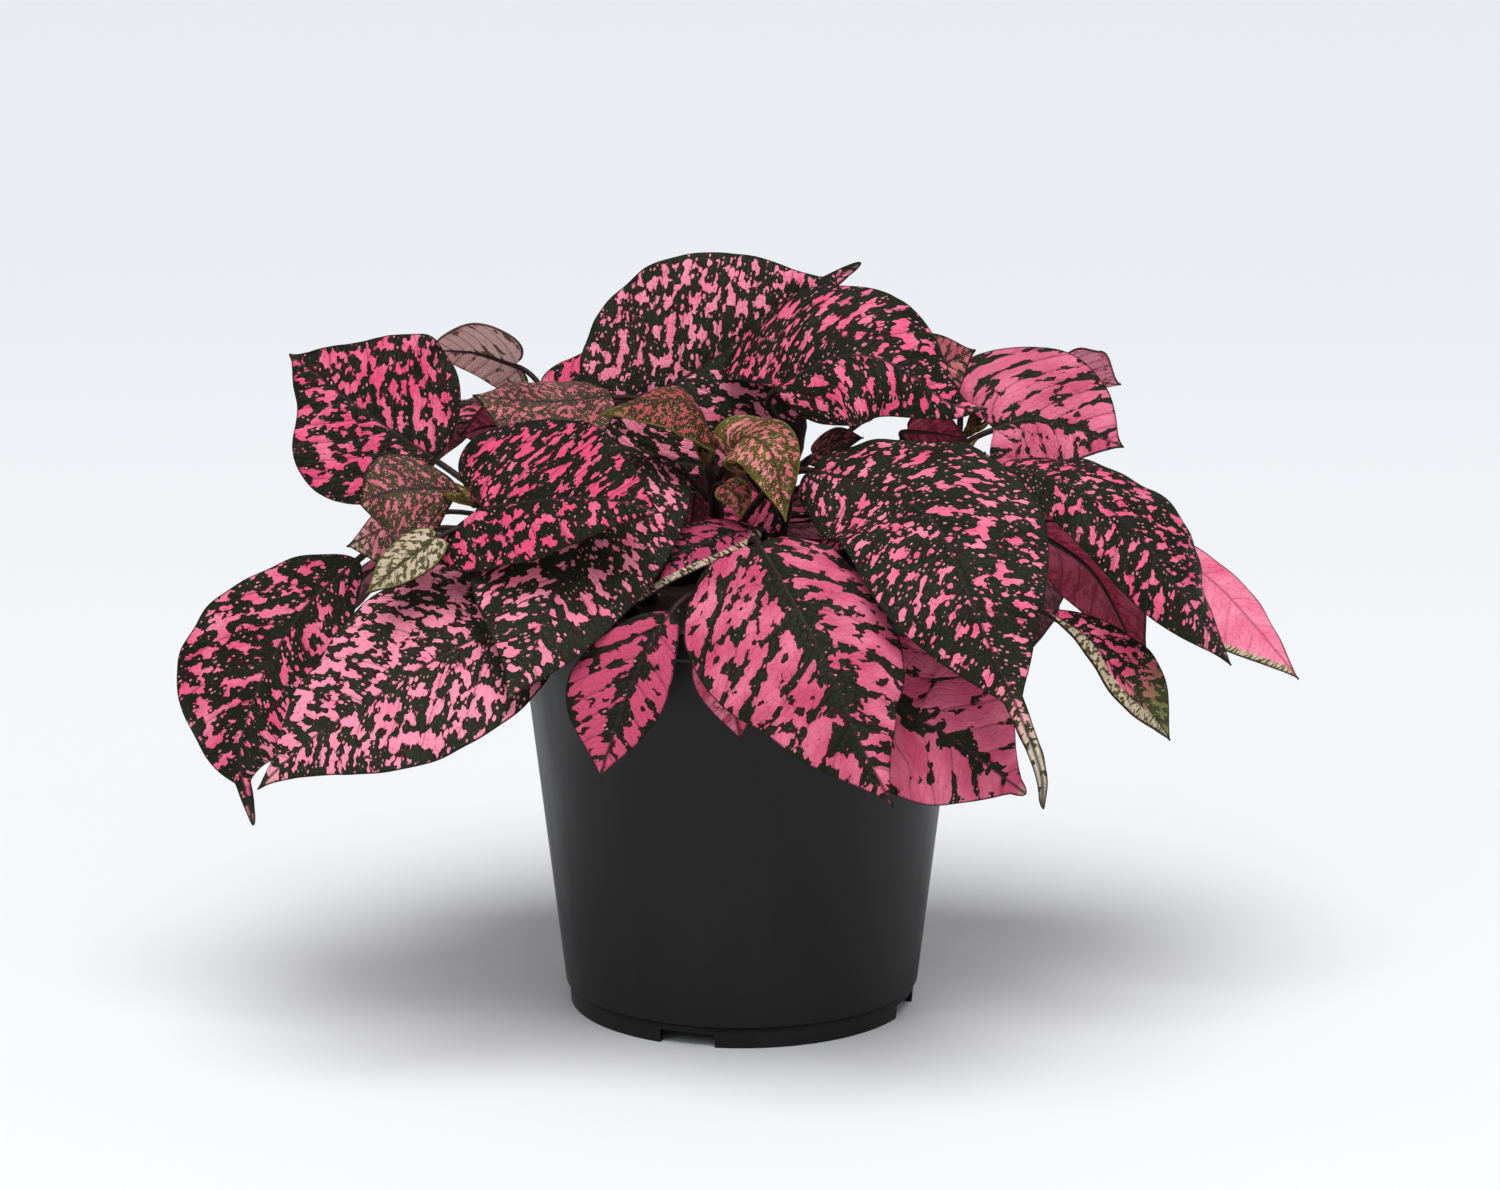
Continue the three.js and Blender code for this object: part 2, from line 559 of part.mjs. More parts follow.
// The blade's mid-surface at u along the midrib and v across, from -1 at the left to 1 at the right.
function bladePoint(leaf, curve, u, v) {
  const { point, along, right, up } = ribFrame(leaf, curve, u);
  const [width, lobe, ...slopes] = v < 0 ? leaf.left : leaf.right;
  const [tail, tailWidth] = leaf.tail ?? [0, 0];
  const share = ovate(Math.min(1, u / (1 - tail)), leaf.widest ?? WIDEST);
  const drawnOut = tailWidth * Math.sqrt(1 - u) * Math.min(1, 3 * u);
  const [side, place, depth] = leaf.notch ?? [0, 0, 0];
  const cut = side === Math.sign(v) ? depth * Math.exp(-(((u - place) / NOTCH_REACH) ** 2)) : 0;
  const halfWidth = Math.max(share * width * (1 - cut), BLADE_END, drawnOut);
  const half = bentAcross(halfWidth, slopes, Math.abs(v));
  const sweep = -lobe * Math.abs(v) * share * (1 - u) ** 2;
  return point
    .addScaledVector(right, Math.sign(v) * half.across)
    .addScaledVector(up, half.up)
    .addScaledVector(along, sweep);
}

// The blade as a thin closed body, split into triangles alike on both faces. Its midrib is a
// ridge along the underside, which fades towards the tip.
function bladeSolid(leaf, curve) {
  const width = leaf.left[0] + leaf.right[0];
  const rows = width < SMALL_BLADE_WIDTH ? SMALL_BLADE_ROWS : BLADE_ROWS;
  const point = (row, column) => bladePoint(leaf, curve, row / rows, (2 * column) / BLADE_COLUMNS - 1);
  const upper = [];
  const lower = [];
  for (let row = 0; row <= rows; row++) {
    for (let column = 0; column <= BLADE_COLUMNS; column++) {
      const ahead = point(Math.min(row + 1, rows), column).sub(point(Math.max(row - 1, 0), column));
      const beside = point(row, Math.min(column + 1, BLADE_COLUMNS)).sub(point(row, Math.max(column - 1, 0)));
      const out = beside.cross(ahead).normalize();
      const ridge = 2 * column === BLADE_COLUMNS ? MIDRIB_DEPTH * (1 - row / rows) : 0;
      upper.push(point(row, column).addScaledVector(out, BLADE_THICKNESS / 2));
      lower.push(point(row, column).addScaledVector(out, -BLADE_THICKNESS / 2 - ridge));
    }
  }
  const wide = BLADE_COLUMNS + 1;
  const count = upper.length;
  const faces = [];
  for (let row = 0; row < rows; row++) {
    for (let column = 0; column < BLADE_COLUMNS; column++) {
      const a = row * wide + column;
      const b = a + 1;
      const c = a + wide;
      const d = c + 1;
      faces.push(a, b, d, a, d, c);
      faces.push(count + a, count + d, count + b, count + a, count + c, count + d);
    }
  }
  const border = [];
  for (let column = 0; column < BLADE_COLUMNS; column++) border.push(column);
  for (let row = 0; row < rows; row++) border.push(row * wide + BLADE_COLUMNS);
  for (let column = BLADE_COLUMNS; column > 0; column--) border.push(rows * wide + column);
  for (let row = rows; row > 0; row--) border.push(row * wide);
  border.forEach((from, i) => {
    const to = border[(i + 1) % border.length];
    faces.push(from, count + from, count + to, from, count + to, to);
  });
  const geometry = new THREE.BufferGeometry();
  const positions = [...upper, ...lower].flatMap((vertex) => vertex.toArray());
  geometry.setAttribute("position", new THREE.Float32BufferAttribute(positions, 3));
  geometry.setIndex(faces);
  return solidOf(geometry);
}

// The petiole: from the stem, rising into the line of the midrib, to just inside the blade's base.
function petioleSolid(leaf, curve, start) {
  const { point, along, up } = ribFrame(leaf, curve, 0);
  const base = point.addScaledVector(up, -MIDRIB_DEPTH / 2);
  const bend = base.clone().addScaledVector(along, -PETIOLE_BEND * base.distanceTo(start));
  const line = new THREE.QuadraticBezierCurve3(start, bend, base).getPoints(PETIOLE_STEPS);
  line.push(base.clone().addScaledVector(along, PETIOLE_RADIUS));
  const radii = line.map(() => PETIOLE_RADIUS);
  radii[radii.length - 1] *= 0.5;
  return solidOf(taperedRod(line, radii, PETIOLE_SIDES));
}

// A whole leaf, its petiole's end cut to the side of the stem that it grows from.
function leafSolid(leaf) {
  const stem = STEMS[leaf.stem];
  const curve = curveThrough(leaf.rib.map((point) => new THREE.Vector3(...point)));
  const start = stemCurve(stem).getPointAt(leaf.at);
  const whole = bladeSolid(leaf, curve).add(petioleSolid(leaf, curve, start));
  return whole.subtract(stemRod(stem, SEAT_GAP));
}

const plant = new THREE.Group();
plant.add(meshOf("pot", potSolid(), FINISHES.pot));

let soil = soilSolid();
for (const stem of Object.values(STEMS)) {
  soil = soil.subtract(stemRod(stem, SEAT_GAP));
}
plant.add(meshOf("soil", soil, FINISHES.soil));

for (const [name, stem] of Object.entries(STEMS)) {
  plant.add(meshOf(`stem_${name}`, stemSolid(stem), FINISHES.stem));
}
for (const leaf of LEAVES) {
  plant.add(meshOf(`leaf_${leaf.name}`, leafSolid(leaf), FINISHES.leaf));
}

export default plant;
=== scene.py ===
# A polka dot plant in its nursery pot: a tapered pot of black plastic filled with potting
# mix, nine branching stems, and forty-nine spotted leaves that arch out over the rim.

import math
from itertools import count

import bpy
import numpy as np
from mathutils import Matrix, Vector, noise


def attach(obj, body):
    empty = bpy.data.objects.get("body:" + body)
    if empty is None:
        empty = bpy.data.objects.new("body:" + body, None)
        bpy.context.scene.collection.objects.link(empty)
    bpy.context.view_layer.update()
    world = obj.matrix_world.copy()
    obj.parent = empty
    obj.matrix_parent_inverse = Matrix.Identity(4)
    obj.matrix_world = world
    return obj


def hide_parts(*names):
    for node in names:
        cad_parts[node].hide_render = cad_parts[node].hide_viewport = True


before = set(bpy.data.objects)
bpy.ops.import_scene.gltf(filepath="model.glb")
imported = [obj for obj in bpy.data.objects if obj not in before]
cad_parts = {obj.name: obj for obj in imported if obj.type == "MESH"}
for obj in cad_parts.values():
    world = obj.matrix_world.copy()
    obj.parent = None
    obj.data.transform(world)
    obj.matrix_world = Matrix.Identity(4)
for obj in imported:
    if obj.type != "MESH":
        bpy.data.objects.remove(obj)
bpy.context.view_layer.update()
bpy.ops.object.select_all(action="DESELECT")


# ---- The pot
# A thin injection-moulded pot of black plastic. Its wall tapers from a stiff rim band to a
# foot ring, which is notched so that water drains away from the drilled floor.

MM = 0.001
POT_STEPS = 160
POT_PROFILE = [
    (0, 4.6), (39.2, 4.6), (40.6, 0), (42, 0), (42.3, 3.8), (41.9, 4.6), (43.2, 5.5),
    (51.7, 78), (51.95, 78.4), (54.0, 96.5), (55.9, 96.5), (56.4, 97.3), (56.4, 103.2),
    (55.6, 104), (53.2, 104), (42.46, 7.7), (40.8, 6.2), (0, 6.2),
]
FOOT_RADIUS = 42
FOOT_NOTCHES = 4
NOTCH_SIZE = (13.6, 12, 6.8)
FIRST_NOTCH = math.radians(-18)
DRAIN_HOLES = 8
DRAIN_RADIUS = 3
DRAIN_CIRCLE = 31
DRAIN_SIDES = 32
DRILLED_FROM_TO = (-1, 11)
MOULDED_EDGE = math.radians(32)


def only(piece):
    bpy.ops.object.select_all(action="DESELECT")
    piece.select_set(True)
    bpy.context.view_layer.objects.active = piece


def close_seams(reach):
    """Merges the points of the piece being edited that meet, and turns its faces outwards."""
    bpy.ops.mesh.select_all(action="SELECT")
    bpy.ops.mesh.remove_doubles(threshold=reach * MM)
    bpy.ops.mesh.normals_make_consistent(inside=False)
    bpy.ops.object.mode_set(mode="OBJECT")


def turned_piece(name, profile, steps):
    """A closed piece turned about the Z axis from (radius, height) pairs in millimetres."""
    mesh = bpy.data.meshes.new(name)
    points = [(radius * MM, 0, height * MM) for radius, height in profile]
    mesh.from_pydata(points, [(i, i + 1) for i in range(len(points) - 1)], [])
    piece = bpy.data.objects.new(name, mesh)
    bpy.context.collection.objects.link(piece)
    only(piece)
    bpy.ops.object.mode_set(mode="EDIT")
    bpy.ops.mesh.select_all(action="SELECT")
    bpy.ops.mesh.spin(steps=steps, angle=math.tau, center=(0, 0, 0), axis=(0, 0, 1))
    close_seams(0.01)
    return piece


def join_to(piece, others):
    only(piece)
    for other in others:
        other.select_set(True)
    bpy.ops.object.join()


def cut_away(piece, cutters):
    """Cuts the cutters out of the piece and removes them."""
    join_to(cutters[0], cutters)
    only(piece)
    cut = piece.modifiers.new("drainage", "BOOLEAN")
    cut.operation = "DIFFERENCE"
    cut.solver = "EXACT"
    cut.object = cutters[0]
    bpy.ops.object.modifier_apply(modifier=cut.name)
    bpy.data.objects.remove(cutters[0])


pot = turned_piece("nursery_pot", POT_PROFILE, POT_STEPS)
cutters = []
for i in range(FOOT_NOTCHES):
    turn = FIRST_NOTCH + i * math.tau / FOOT_NOTCHES
    place = (math.sin(turn) * FOOT_RADIUS * MM, -math.cos(turn) * FOOT_RADIUS * MM, 0)
    bpy.ops.mesh.primitive_cube_add(
        size=1, location=place, rotation=(0, 0, turn), scale=[side * MM for side in NOTCH_SIZE]
    )
    cutters.append(bpy.context.object)
low, high = DRILLED_FROM_TO
for i in range(DRAIN_HOLES):
    turn = FIRST_NOTCH + i * math.tau / DRAIN_HOLES
    x, y = math.cos(turn) * DRAIN_CIRCLE, math.sin(turn) * DRAIN_CIRCLE
    place = (x * MM, y * MM, (low + high) / 2 * MM)
    bpy.ops.mesh.primitive_cylinder_add(
        vertices=DRAIN_SIDES, radius=DRAIN_RADIUS * MM, depth=(high - low) * MM, location=place
    )
    cutters.append(bpy.context.object)
cut_away(pot, cutters)
bpy.ops.object.shade_smooth_by_angle(angle=MOULDED_EDGE)


def place_node(kind, sockets=None, tree=None, **settings):
    """Adds a node to the tree, or else to that of the outputs that it takes. Each socket is
    given a plain value or another node's output."""
    sockets = sockets or {}
    linked = {key: value for key, value in sockets.items() if hasattr(value, "id_data")}
    tree = tree or next(iter(linked.values())).id_data
    node = tree.nodes.new("ShaderNode" + kind)
    for setting, value in settings.items():
        setattr(node, setting, value)
    for key, value in sockets.items():
        if key in linked:
            tree.links.new(value, node.inputs[key])
        else:
            node.inputs[key].default_value = value
    return node


def maths(operation, *values):
    """The result of one sum on numbers or outputs."""
    return place_node("Math", dict(enumerate(values)), operation=operation).outputs[0]


def plus(a, b):
    return maths("ADD", a, b)


def minus(a, b):
    return maths("SUBTRACT", a, b)


def times(a, b):
    return maths("MULTIPLY", a, b)


def ramp(value, low, high, at_low=0.0, at_high=1.0, smooth=False):
    """The value's run from low to high turned into a run from at_low to at_high, held there."""
    kind = "SMOOTHSTEP" if smooth else "LINEAR"
    sockets = {
        "Value": value, "From Min": low, "From Max": high, "To Min": at_low, "To Max": at_high
    }
    return place_node("MapRange", sockets, interpolation_type=kind).outputs["Result"]


def mixed(share, first, second, kind="RGBA"):
    """Two colours, or two vectors, mixed by share. The Mix node has sockets for every kind."""
    a, b, result = {"RGBA": (6, 7, 2), "VECTOR": (4, 5, 1)}[kind]
    first, second = (
        (*value, 1) if isinstance(value, tuple) else value for value in (first, second)
    )
    return place_node("Mix", {0: share, a: first, b: second}, data_type=kind).outputs[result]


def parts(vector):
    """A vector's three numbers, as outputs X, Y and Z."""
    return place_node("SeparateXYZ", {0: vector}).outputs


def object_place(shader):
    return place_node("TexCoord", tree=shader.id_data).outputs["Object"]


def squeezed(place, scale):
    return place_node("Mapping", {"Vector": place, "Scale": scale}).outputs[0]


def noise_at(vector, scale, detail=3.0, roughness=0.55, kind="3D", output="Fac"):
    sockets = {"Vector": vector, "Scale": scale, "Detail": detail, "Roughness": roughness}
    return place_node("TexNoise", sockets, noise_dimensions=kind).outputs[output]


def bumped(height, depth, strength=1.0):
    sockets = {"Height": height, "Distance": depth, "Strength": strength}
    return place_node("Bump", sockets).outputs["Normal"]


def feed(node, **values):
    """Links outputs to the node's sockets, named with underscores."""
    for name, value in values.items():
        node.id_data.links.new(value, node.inputs[name.replace("_", " ")])


def new_material(name, shine=0.5):
    material = bpy.data.materials.new(name)
    material.use_nodes = True
    tree = material.node_tree
    tree.nodes.clear()
    shader = place_node("BsdfPrincipled", {"Specular IOR Level": shine}, tree)
    place_node("OutputMaterial", {"Surface": shader.outputs[0]})
    return material, shader


POT_BLACK = (0.0062, 0.0062, 0.007)
POT_SCUFFED = (0.015, 0.015, 0.016)
DUST_HEIGHT = 0.03
SATIN = 0.2

plastic, shader = new_material("black_pot_plastic", SATIN)
place = object_place(shader)
streaks = noise_at(squeezed(place, (1, 1, 0.06)), 90, 4)
clouds = noise_at(place, 28, 4)
grain = noise_at(place, 2600, 2)
dust = times(ramp(parts(place)["Z"], DUST_HEIGHT, 0.0), ramp(clouds, 0.45, 0.7))
wear = maths("MAXIMUM", times(ramp(streaks, 0.5, 0.75), 0.5), dust)
feed(
    shader,
    Base_Color=mixed(wear, POT_BLACK, POT_SCUFFED),
    Roughness=ramp(plus(clouds, wear), 0.3, 1.3, 0.36, 0.56),
    Normal=bumped(plus(times(grain, 0.25), streaks), 0.00006, 0.6),
)
pot.data.materials.append(plastic)
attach(pot, "root")
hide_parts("pot")


# ---- The potting mix
# Moist dark peat with bark crumbs and a few beads of perlite, filled to a finger's breadth
# below the rim and settled unevenly round the stems.

MIX_STEPS = 120
MIX_RINGS = 40
MIX_TOP = 93
MIX_RADIUS = 51.3
MIX_FOOT = [(0, 6.5), (39.2, 6.5), (42.0, 9.5)]
SETTLED = 0.8
CLOD_HEIGHT = 0.9
CLOD_CLOSENESS = 0.22
SOFT_EDGE = math.radians(60)
CRUMB_BREADTH = (0.6, 1)
ROUGHENED = (0.75, 1.1)
CRUMBS = dict(number=260, smallest=0.5, largest=1.7, flatness=0.7)
BEADS = dict(number=26, smallest=0.5, largest=1.2, flatness=0.9)

top = [(MIX_RADIUS * ring / MIX_RINGS, MIX_TOP) for ring in range(MIX_RINGS, -1, -1)]
mix = turned_piece("potting_mix", MIX_FOOT + top, MIX_STEPS)


def mix_height(x, y):
    """The settled surface's height at a place, all in millimetres."""
    broad = math.sin(x * 0.13 + 1.3) * math.cos(y * 0.11 + 0.4)
    clods = noise.fractal(Vector((x, y, 0)) * CLOD_CLOSENESS, 0.6, 2.1, 4)
    return MIX_TOP + SETTLED * broad + CLOD_HEIGHT * clods


for vertex in mix.data.vertices:
    x, y, z = vertex.co / MM
    if z > MIX_TOP - 0.1:
        vertex.co.z = mix_height(x, y) * MM
bpy.ops.object.shade_smooth_by_angle(angle=SOFT_EDGE)

mix_random = np.random.default_rng(11)


def scatter_crumbs(number, smallest, largest, flatness, finish):
    """Small rough lumps, half sunk in the surface."""
    crumbs = []
    for _ in range(number):
        reach = (MIX_RADIUS - 2) * math.sqrt(mix_random.random())
        turn = math.tau * mix_random.random()
        x, y = reach * math.cos(turn), reach * math.sin(turn)
        size = mix_random.uniform(smallest, largest)
        bpy.ops.mesh.primitive_ico_sphere_add(
            subdivisions=1, radius=size * MM, location=(x * MM, y * MM, mix_height(x, y) * MM),
            rotation=mix_random.uniform(0, math.tau, 3),
            scale=(1, mix_random.uniform(*CRUMB_BREADTH), flatness),
        )
        crumb = bpy.context.object
        for vertex in crumb.data.vertices:
            vertex.co *= mix_random.uniform(*ROUGHENED)
        crumb.data.materials.append(finish)
        crumbs.append(crumb)
    return crumbs


PEAT = (0.02, 0.012, 0.008)
# Painted shade in the hollows of the peat.
PEAT_HOLLOW_SHADE = (0.008, 0.005, 0.004)
BARK = (0.075, 0.04, 0.022)
PERLITE = (0.62, 0.6, 0.55)
# Painted shade in the pores of the perlite.
PERLITE_PORE_SHADE = (0.3, 0.27, 0.22)

peat, shader = new_material("moist_peat")
place = object_place(shader)
coarse = noise_at(place, 240, 5, 0.7)
fine = noise_at(place, 1500, 3, 0.7)
fibres = noise_at(squeezed(place, (1, 0.15, 1)), 1400, 2)
brown = mixed(ramp(plus(coarse, fibres), 0.95, 1.25), PEAT, BARK)
feed(
    shader,
    # Painted shade: the peat is darker where the fine noise is low, in the hollows of its bump.
    Base_Color=mixed(ramp(fine, 0.3, 0.6), PEAT_HOLLOW_SHADE, brown),
    Roughness=ramp(coarse, 0.3, 0.7, 0.72, 0.95),
    Normal=bumped(plus(coarse, times(fine, 0.5)), 0.0006),
)
perlite, shader = new_material("perlite")
pores = noise_at(object_place(shader), 2200, 4, 0.7)
feed(
    shader,
    # Painted shade: the perlite is darker and browner in the low pits of its bump.
    Base_Color=mixed(ramp(pores, 0.35, 0.6), PERLITE_PORE_SHADE, PERLITE),
    Roughness=ramp(pores, 0.3, 0.7, 0.95, 0.8),
    Normal=bumped(pores, 0.0003),
)
mix.data.materials.append(peat)
crumbs = scatter_crumbs(finish=peat, **CRUMBS)
join_to(mix, crumbs + scatter_crumbs(finish=perlite, **BEADS))
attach(mix, "root")
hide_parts("soil")


# ---- The stems
# Soft woody shoots, dark purple-brown, which rise from the mix and branch outwards. Each is
# a little thicker at five joints along it.

THICK_SHOOT = (2.2, 1.4)
SHOOT = (2.1, 1.3)
THIN_SHOOT = (1.9, 1.2)
STEMS = dict(
    center=(THICK_SHOOT, [(-2, -4, 66), (-4, -6, 100), (-6, -12, 124), (-8, -20, 137)]),
    crown=(THICK_SHOOT, [(8, 6, 66), (8, 8, 100), (11, 9, 124), (15, 10, 143)]),
    left=(SHOOT, [(-18, -12, 66), (-26, -16, 100), (-46, -24, 118), (-62, -30, 129)]),
    back_left=(SHOOT, [(-16, 16, 66), (-24, 22, 100), (-40, 28, 124), (-52, 33, 142)]),
    right=(SHOOT, [(18, -12, 66), (24, -14, 98), (38, -12, 118), (52, -4, 132)]),
    back_right=(SHOOT, [(20, 16, 66), (26, 20, 98), (42, 26, 120), (56, 32, 135)]),
    front=(THIN_SHOOT, [(2, -26, 66), (3, -29, 98), (5, -31, 105), (6, -31, 110)]),
    front_left=(THIN_SHOOT, [(-22, -26, 66), (-28, -30, 97), (-36, -34, 108), (-42, -36, 113)]),
    back=(SHOOT, [(2, 30, 66), (2, 36, 98), (-2, 45, 116), (-5, 50, 134)]),
)
STEM_JOINTS = (0.4, 0.55, 0.7, 0.8, 0.9)
JOINT_SWELLING = 0.35
JOINT_LENGTH = 0.022
STEM_STATIONS = 30
STEM_SIDES = 16
STEM_END = 0.4
ROD_EDGE = math.radians(50)
CURVE_STATIONS = 401


def smooth_curve(points):
    """Closely spaced points on a smooth curve through the given ones, and the length so far."""
    given = np.array(points, float)
    given = np.vstack([2 * given[0] - given[1], given, 2 * given[-1] - given[-2]])
    spans = len(given) - 3
    t = np.linspace(0, spans, CURVE_STATIONS)
    span = np.minimum(t.astype(int), spans - 1)
    f = (t - span)[:, None]
    before, start, end, after = (given[span + i] for i in range(4))
    leave = 0.5 * (end - before)
    arrive = 0.5 * (after - start)
    line = (2 * f**3 - 3 * f**2 + 1) * start + (f**3 - 2 * f**2 + f) * leave
    line += (3 * f**2 - 2 * f**3) * end + (f**3 - f**2) * arrive
    steps = np.linalg.norm(np.diff(line, axis=0), axis=1)
    return line, np.concatenate([[0], np.cumsum(steps)])


def along_curve(curve, u, values=None):
    """The curve's points, or values given at its points, at shares u of its length."""
    line, length = curve
    values = line if values is None else values
    at = np.asarray(u, float) * length[-1]
    return np.stack([np.interp(at, length, values[:, i]) for i in range(3)], axis=-1)


def unit(vectors):
    return vectors / np.maximum(np.linalg.norm(vectors, axis=-1, keepdims=True), 1e-9)


def round_rod(name, points, radii, sides, finish):
    """A closed rod swept along points, with its radius at each, in millimetres."""
    bpy.ops.curve.primitive_nurbs_path_add()
    rod = bpy.context.object
    rod.name = name
    rod.data.dimensions = "3D"
    spline = rod.data.splines[0]
    spline.type = "POLY"
    spline.points.add(len(points) - len(spline.points))
    for knot, point, radius in zip(spline.points, points, radii):
        knot.co = (*(np.asarray(point) * MM), 1)
        knot.radius = radius
    rod.data.bevel_depth = MM
    rod.data.bevel_resolution = sides // 4 - 1
    rod.data.use_fill_caps = True
    rod.data.twist_mode = "MINIMUM"
    bpy.ops.object.convert(target="MESH")
    only(rod)
    bpy.ops.object.mode_set(mode="EDIT")
    close_seams(0.002)
    bpy.ops.object.shade_smooth_by_angle(angle=ROD_EDGE)
    rod.data.materials.append(finish)
    return rod


STEM_BROWN = (0.024, 0.011, 0.011)
STEM_PURPLE = (0.04, 0.012, 0.016)
STEM_OLIVE = (0.03, 0.027, 0.012)

bark, shader = new_material("purple_brown_stem", SATIN)
place = object_place(shader)
patches = noise_at(place, 160, 4)
ribs = noise_at(squeezed(place, (1, 1, 0.12)), 1500, 2)
tone = mixed(ramp(patches, 0.4, 0.62), STEM_BROWN, STEM_PURPLE)
feed(
    shader,
    Base_Color=mixed(ramp(ribs, 0.55, 0.8, 0, 0.6), tone, STEM_OLIVE),
    Roughness=ramp(patches, 0.3, 0.7, 0.42, 0.6),
    Normal=bumped(plus(ribs, patches), 0.00025),
)

stem_curves = {}
stem_rods = {}
for name, (thickness, points) in STEMS.items():
    curve = smooth_curve(points)
    shares = np.linspace(0, 1, STEM_STATIONS)
    radii = np.interp(shares, (0, 1), thickness)
    for joint in STEM_JOINTS:
        radii += JOINT_SWELLING * np.exp(-(((shares - joint) / JOINT_LENGTH) ** 2))
    radii[-1] *= STEM_END
    stem_curves[name] = curve
    stem_rods[name] = round_rod("stem_" + name, along_curve(curve, shares), radii, STEM_SIDES, bark)


# ---- Leaves of the crown
# The two broad leaves on top of the plant. A leaf is a thin blade, slightly puckered between
# its side veins, on a stalk that runs on under the blade as its midrib.

BLADE_THICKNESS = 0.5
BLADE_GRID = (88, 52)
SMALL_BLADE_GRID = (56, 32)
TINY_BLADE_GRID = (16, 8)
SMALL_BLADE_WIDTH = 28
TINY_BLADE_WIDTH = 6
ORDINARY_WIDTH = 45
NARROWEST = (0.7, 0.12)
PLAIN_HALF = (20, 3, 10, -20)
PUCKER = 0.32
RIB_GROOVE = 0.35
RIB_CLEAR = 2.5
GROOVE_WIDTH = 1.1
MARGIN_WAVE = 0.6
WAVE_LENGTHS = (17, 9.5)
NOTCH_REACH = 0.09
VEIN_PAIRS = 7
VEIN_LEAN = 0.8
VEIN_RISE = 0.75
VEIN_BOW = 0.012
STALK_RADIUS = 0.85
STALK_BEND = 0.4
STALK_SIDES = 12
STALK_START = 1.1
RIB_END = 0.9
RIB_TAPER = 0.8


def blade_share(u, widest):
    """Half the blade's width at u from base to tip, as a share of its widest."""
    swell = math.log(0.5) / math.log(widest)
    return np.maximum(np.sin(np.pi * u**swell), 0) ** (0.6 + 0.7 * u)


def halves(leaf):
    """Each half's width, lobe, and the angles that it leaves the midrib and ends at. A plain
    half has only its width given."""
    given = (leaf.get(side, leaf.get("both")) for side in ("left", "right"))
    return [(*half, *PLAIN_HALF[len(half):]) for half in given]


def rib_frame(leaf, u):
    """The midrib's points at u, and the directions along it, to its right and up from it."""
    line = leaf["curve"][0]
    along = unit(along_curve(leaf["curve"], u, np.gradient(line, axis=0)))
    right = unit(np.cross(along, np.array(leaf["face"], float)))
    return along_curve(leaf["curve"], u), along, right, np.cross(right, along)


def blade_shape(leaf, u, v):
    """The blade's middle surface at u along the midrib and v across, its half width there and
    how far along the leaf that place lies."""
    point, along, right, up = rib_frame(leaf, u)
    left_half, right_half = (np.array(half, float) for half in halves(leaf))
    width, lobe, start, end = np.where((v < 0)[:, None], left_half, right_half).T
    tail, tail_width = leaf["tail"]
    share = blade_share(np.minimum(1, u / (1 - tail)), leaf["widest"])
    notch_side, notch_place, notch_depth = leaf["notch"]
    notch = notch_depth * np.exp(-(((u - notch_place) / NOTCH_REACH) ** 2))
    notch = notch * (np.sign(v) == notch_side)
    half_width = np.maximum(share * width * (1 - notch), np.interp(u, (0, 1), NARROWEST))
    half_width = np.maximum(half_width, tail_width * np.sqrt(1 - u) * np.minimum(1, 3 * u))
    first = np.radians(start)
    turn = np.radians(end - start)
    turn = np.where(turn == 0, 1e-6, turn)
    angle = first + turn * np.abs(v)
    across = half_width * (np.sin(angle) - np.sin(first)) / turn
    raised = half_width * (np.cos(first) - np.cos(angle)) / turn
    back = -lobe * np.abs(v) * share * (1 - u) ** 2
    place = point + right * (np.sign(v) * across)[:, None] + up * raised[:, None]
    place = place + along * back[:, None]
    return place, half_width, u * leaf["curve"][1][-1] + back


